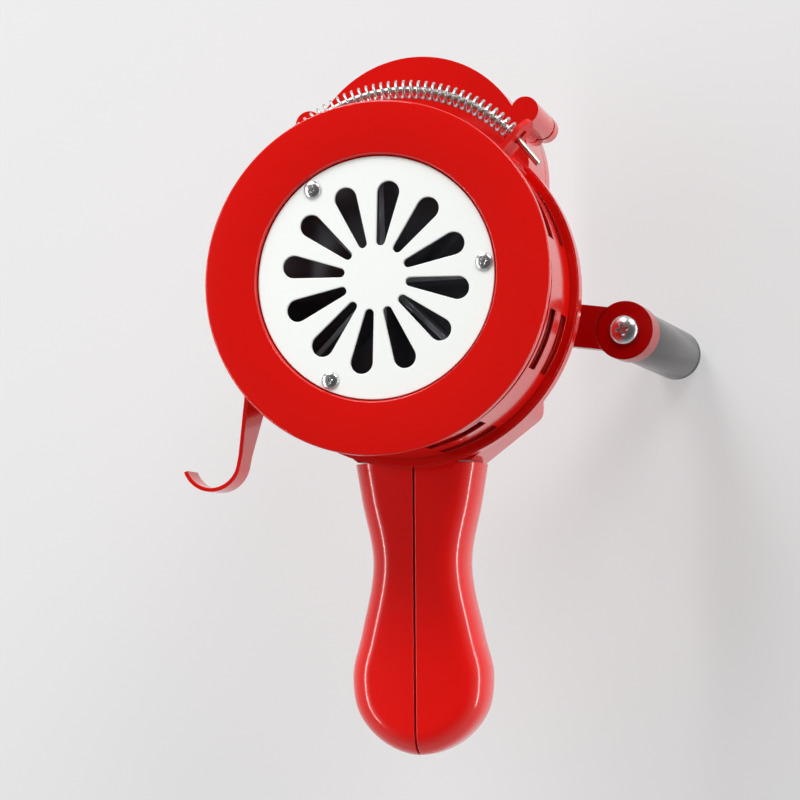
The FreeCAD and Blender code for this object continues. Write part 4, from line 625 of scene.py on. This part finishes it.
# The arc that the spring lies on: its radius, its centre, and places on it as turns in degrees.
# A wire is given by its radius.
SPRING_ARC = 64.0
SPRING_SIDE, SPRING_LEVEL, SPRING_DEPTH = 3.0, 15.5, 26.0
SPRING_LUG_END, SPRING_FIXED_END = 41.7, 128.4
COIL_RADIUS, COIL_WIRE, COIL_TURNS = 3.45, 0.575, 32
ROD_FREE_END, ROD_LUG, ROD_FIXED_END = 27.5, 39.0, 138.0
ROD_WIRE, ROD_BEND, ROD_SEAT_DEPTH = 1.4, 4.0, 66.5


def on_arc(turn, out=0.0, along=0.0, depth=SPRING_DEPTH):
    """A place by the spring's arc: so far out from it, and so far along its tangent."""
    aim = math.radians(turn)
    reach = SPRING_ARC + out
    return drum(SPRING_SIDE + reach * math.cos(aim) - along * math.sin(aim), depth,
                SPRING_LEVEL + reach * math.sin(aim) + along * math.cos(aim))


def tube_along(name, points, radius, resolution):
    """A round wire along points in the part's frame, as a mesh."""
    curve = bpy.data.curves.new(name, "CURVE")
    curve.dimensions = "3D"
    curve.bevel_depth = radius * MM
    curve.bevel_resolution = resolution
    curve.use_fill_caps = True
    spline = curve.splines.new("POLY")
    spline.points.add(len(points) - 1)
    for point, place in zip(spline.points, points):
        point.co = (*place, 1)
    return add_object(name, drawn_mesh(name, curve))


def build_return_spring():
    """A wound wire along the rod's arc, from the lug to the end that stays."""
    count = COIL_TURNS * 20
    points = []
    for step in range(count + 1):
        share = step / count
        roll = 2 * math.pi * COIL_TURNS * share
        points.append(on_arc(SPRING_LUG_END + (SPRING_FIXED_END - SPRING_LUG_END) * share,
                             out=COIL_RADIUS * math.cos(roll),
                             depth=SPRING_DEPTH + COIL_RADIUS * math.sin(roll)))
    coil = tube_along("spring_coil", points, COIL_WIRE, resolution=3)
    shade(coil, 60)
    paint(coil, STEEL)
    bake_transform(coil)
    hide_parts("return_spring")


def build_rod_wire():
    """The rod that the spring runs on: bent to the case at one end, straight past the lug."""
    overhang = SPRING_ARC * math.radians(ROD_LUG - ROD_FREE_END)
    points = [on_arc(ROD_LUG, along=-overhang), on_arc(ROD_LUG, along=-overhang / 2)]
    steps = 60
    for step in range(steps + 1):
        points.append(on_arc(ROD_LUG + (ROD_FIXED_END - ROD_LUG) * step / steps))
    steps = 8
    for step in range(1, steps + 1):
        angle = math.pi / 2 * step / steps
        points.append(on_arc(ROD_FIXED_END, along=ROD_BEND * math.sin(angle),
                             depth=SPRING_DEPTH + ROD_BEND * (1 - math.cos(angle))))
    points.append(on_arc(ROD_FIXED_END, along=ROD_BEND, depth=ROD_SEAT_DEPTH))
    rod = tube_along("rod_wire", points, ROD_WIRE, resolution=6)
    shade(rod, 40)
    paint(rod, ROD_STEEL)
    own(rod, "housing", "guide_rod")
    soften(rod, 0.35, angle=60)


# ---------------------------------------------------------------- crank knob

ARM_TURN = math.radians(8.0)
KNOB_SPLAY = math.radians(5.5)
ARM_FRONT, ARM_RADIUS = 109.3, 80.0
# Places along the knob's axis, counted from the arm's front.
KNOB_FRONT, KNOB_BORE_END, KNOB_BACK = 12.7, 81.3, 86.6
CAP_SPIGOT_FRONT, CAP_FRONT, CAP_BACK = 84.7, 86.75, 91.7
KNOB_RADIUS, KNOB_FRONT_RADIUS, KNOB_BORE, CAP_SPIGOT = 11.5, 11.2, 4.88, 8.3
KNOB_CHAMFER_BACK = 14.5


def on_knob_axis(x, along, z):
    """A place in the knob's own frame, put on the arm's end in the part's frame."""
    splayed_x = ARM_RADIUS + x * math.cos(KNOB_SPLAY) + along * math.sin(KNOB_SPLAY)
    y = ARM_FRONT - x * math.sin(KNOB_SPLAY) + along * math.cos(KNOB_SPLAY)
    return drum(splayed_x * math.cos(ARM_TURN) + z * math.sin(ARM_TURN), y,
                -splayed_x * math.sin(ARM_TURN) + z * math.cos(ARM_TURN))


def build_knob():
    outline = eased([(KNOB_BORE, KNOB_FRONT, 0), (KNOB_FRONT_RADIUS, KNOB_FRONT, 0.6),
                     (KNOB_RADIUS, KNOB_CHAMFER_BACK, 0.4), (KNOB_RADIUS, KNOB_BACK, 0.25),
                     (CAP_SPIGOT, KNOB_BACK, 0), (CAP_SPIGOT, KNOB_BORE_END, 0),
                     (KNOB_BORE, KNOB_BORE_END, 0)])
    spin("knob_sleeve", outline, DARK_PLASTIC, "knob", "crank_knob", segments=96,
         placing=on_knob_axis)
    outline = eased([(0.0, CAP_BACK, 0), (KNOB_RADIUS, CAP_BACK, 4.8), (KNOB_RADIUS, CAP_FRONT, 0.25),
                     (CAP_SPIGOT, CAP_FRONT, 0), (CAP_SPIGOT, CAP_SPIGOT_FRONT, 0),
                     (0.0, CAP_SPIGOT_FRONT, 0)], steps=10)
    spin("knob_end", outline, DARK_PLASTIC, "knob", "knob_cap", segments=96,
         placing=on_knob_axis)


# ---------------------------------------------------------------- screws that show their heads

# A head's dome and cross recess: depths as shares of its rise, the recess's arms as shares of its
# radius.
DOME_DEPTH, SHOULDER_DEPTH, RECESS_DEPTH = 0.72, 0.8, 0.62
RECESS_REACH, RECESS_HALF_WIDTH = 0.56, 0.12
RECESS_FLOOR = 0.45                     # how long the recess's floor is, as a share of its mouth
RECESS_SIDE_KEPT = 0.6                  # the part of an arm's width that doesn't narrow with it
PAST_HEAD = 1.0                         # how far the cutter starts in front of the head
DOME_STEPS, DOME_STEP_TURN = 8, 10.5
GRILLE_SCREW = {"head": 3.5, "rise": 1.5, "shank": 1.5, "length": 5.2}
GRILLE_SCREW_FRONT = 0.1
KNOB_SCREW = {"head": 6.3, "rise": 3.6, "shank": 3.0, "length": 34.0}


def wedge_cutter(placing, reach, half, depth, turn):
    """One arm pair of a cross recess: a bar that narrows as it goes in."""
    build = bmesh.new()
    rings = []
    for along, share in ((-PAST_HEAD, 1.0), (depth, RECESS_FLOOR)):
        ring = []
        for x, z in ((-reach, -half), (reach, -half), (reach, half), (-reach, half)):
            u, v = x * share, z * (RECESS_SIDE_KEPT + (1 - RECESS_SIDE_KEPT) * share)
            ring.append(build.verts.new(placing(u * math.cos(turn) - v * math.sin(turn), along,
                                                u * math.sin(turn) + v * math.cos(turn))))
        rings.append(ring)
    front, back = rings
    build.faces.new(front)
    build.faces.new(back[::-1])
    for index in range(4):
        after = (index + 1) % 4
        build.faces.new((front[index], back[index], back[after], front[after]))
    bmesh.ops.recalc_face_normals(build, faces=build.faces)
    return mesh_object("cutter", build)


def domed_screw(name, placing, head, rise, shank, length, turn, body, node):
    """A pan head screw with a domed top and a cross recess; its top is at depth 0."""
    outline = [(0.0, 0.0)]
    for step in range(1, DOME_STEPS + 1):
        angle = math.radians(DOME_STEP_TURN * step)
        outline.append((head * math.sin(angle), rise * DOME_DEPTH * (1 - math.cos(angle))))
    outline += [(head, rise * SHOULDER_DEPTH), (head, rise), (shank, rise), (shank, rise + length),
                (0.0, rise + length)]
    screw = spin(name, outline, ZINC, body, node, segments=48, placing=placing)
    carved(screw, [wedge_cutter(placing, head * RECESS_REACH, head * RECESS_HALF_WIDTH,
                                rise * RECESS_DEPTH, turn + extra) for extra in (0.0, math.pi / 2)])
    shade(screw, 28)


def build_screws():
    for index in range(GRILLE_SCREW_COUNT):
        x, z = grille_screw_place(index)

        def on_grille(u, along, v, x=x, z=z):
            return drum(x + u, GRILLE_SCREW_FRONT + along, z + v)

        domed_screw("grille_screw_%d" % index, on_grille, **GRILLE_SCREW,
                    turn=math.radians(25 + 40 * index), body="housing", node="grille_screws")

    def on_eye(u, along, v):
        return on_knob_axis(u, along - KNOB_SCREW["rise"], v)

    domed_screw("knob_screw_head", on_eye, **KNOB_SCREW, turn=math.radians(20), body="crank",
                node="knob_screw")


build_front_cover()
build_grille()
build_grip()
build_return_spring()
build_rod_wire()
build_knob()
build_screws()
for part, width in (("crank_arm", 0.8), ("trigger_lever", 0.3), ("spring_lug", 0.5), ("spring_stop", 0.3)):
    soften(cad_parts[part], width)


# ---------------------------------------------------------------- stage, camera and lamps

# Places and the sizes of sheet and lamps are in metres from here on.
SHEET_DEPTH = drum(0, 203.5, 0).y       # the sheet lies just behind the knob's end
SHEET_REACH = 3.0
PAPER = (0.42, 0.42, 0.422, 1)
PAPER_GLOW = 0.85
DARK_ROOM = 0.10                        # how bright the room is in front of the siren
BRIGHT_SIDES = 0.75                     # and how bright it is at the sides and behind
# Where the room's brightness starts and stops rising, by how far a direction points to the back.
ROOM_RISE_START, ROOM_RISE_END = -0.85, -0.1
CAMERA_PLACE = (0.247605, -0.923937, -0.008612)
CAMERA_RIGHT = (0.9632269, 0.2686077, -0.0066206)
CAMERA_UP = (0.0319933, -0.0901933, 0.9954103)
CAMERA_BACK = (0.2667778, -0.9590178, -0.0954703)
LENS, SENSOR = 103.5, 36.0              # in millimetres
MIDDLE = (0, -0.03, 0.06)               # what the two large lamps point at
LOW_MIDDLE = (0, -0.03, 0.0)            # and what the two strips point at
# Each lamp's name, place, aim, width and height, and power in watts.
LAMPS = (("key lamp", (-1.0, -1.5, 2.4), MIDDLE, (1.3, 1.0), 55.5),
         ("fill lamp", (1.3, -1.5, 2.1), MIDDLE, (1.3, 1.0), 28.5),
         ("left strip", (-0.94, -0.93, 0.0), LOW_MIDDLE, (0.08, 1.3), 7),
         ("right strip", (1.3, -0.1, 0.0), LOW_MIDDLE, (0.09, 1.3), 8))


def sheet_material():
    """Pale paper that lets light and sight through from its back."""
    material = bpy.data.materials.new("backdrop paper")
    material.use_nodes = True
    s = Shader(material.node_tree)
    surface = material.node_tree.nodes["Principled BSDF"]
    drifted = s.effect(MOTTLE, Colour=PAPER, Drift=0.015, Roughness=0.9, Scale=2.0)
    s.feed(surface, "Base Color", drifted.outputs["Colour"])
    surface.inputs["Roughness"].default_value = 0.95
    surface.inputs["Specular IOR Level"].default_value = 0.0
    s.feed(surface, "Emission Color", drifted.outputs["Colour"])
    surface.inputs["Emission Strength"].default_value = PAPER_GLOW
    clear = s.node("ShaderNodeBsdfTransparent")
    mix = s.node("ShaderNodeMixShader")
    s.tree.links.new(s.node("ShaderNodeNewGeometry").outputs["Backfacing"], mix.inputs[0])
    s.tree.links.new(surface.outputs[0], mix.inputs[1])
    s.tree.links.new(clear.outputs[0], mix.inputs[2])
    s.tree.links.new(mix.outputs[0], material.node_tree.nodes["Material Output"].inputs["Surface"])
    return material


def add_stage():
    """A sheet of paper behind the siren, just past the end of its knob."""
    build = bmesh.new()
    corners = [(-SHEET_REACH, -SHEET_REACH), (SHEET_REACH, -SHEET_REACH), (SHEET_REACH, SHEET_REACH),
               (-SHEET_REACH, SHEET_REACH)]
    build.faces.new([build.verts.new((x, SHEET_DEPTH, z)) for x, z in corners])
    backdrop = mesh_object("backdrop", build)
    paint(backdrop, sheet_material())


def add_camera():
    data = bpy.data.cameras.new("camera")
    camera = add_object("camera", data)
    turn = Matrix((CAMERA_RIGHT, CAMERA_UP, CAMERA_BACK)).transposed().to_4x4()
    camera.matrix_world = Matrix.Translation(CAMERA_PLACE) @ turn
    data.sensor_width = SENSOR
    data.lens = LENS
    data.clip_start = 0.02
    scene.camera = camera


def add_lamp(name, place, aim, size, power):
    data = bpy.data.lights.new(name, "AREA")
    data.shape = "RECTANGLE"
    data.size, data.size_y = size
    data.energy = power
    lamp = add_object(name, data)
    lamp.location = place
    lamp.rotation_euler = (Vector(aim) - Vector(place)).to_track_quat("-Z", "Y").to_euler()


def add_light():
    """A room that is dark in front and bright round the paper, a key lamp, a fill and two strips."""
    world = bpy.data.worlds.new("studio")
    world.use_nodes = True
    sky = world.node_tree.nodes["Background"]
    sky.inputs["Color"].default_value = (1, 1, 1, 1)
    s = Shader(world.node_tree)
    split = s.node("ShaderNodeSeparateXYZ", Vector=s.node("ShaderNodeTexCoord").outputs["Generated"])
    room = s.node("ShaderNodeMapRange")
    s.feed(room, "Value", split.outputs["Y"])
    s.feed(room, "From Min", ROOM_RISE_START)
    s.feed(room, "From Max", ROOM_RISE_END)
    s.feed(room, "To Min", DARK_ROOM)
    s.feed(room, "To Max", BRIGHT_SIDES)
    s.tree.links.new(room.outputs["Result"], sky.inputs["Strength"])
    scene.world = world
    for lamp in LAMPS:
        add_lamp(*lamp)


add_stage()
add_camera()
add_light()
scene.view_settings.view_transform = "Standard"
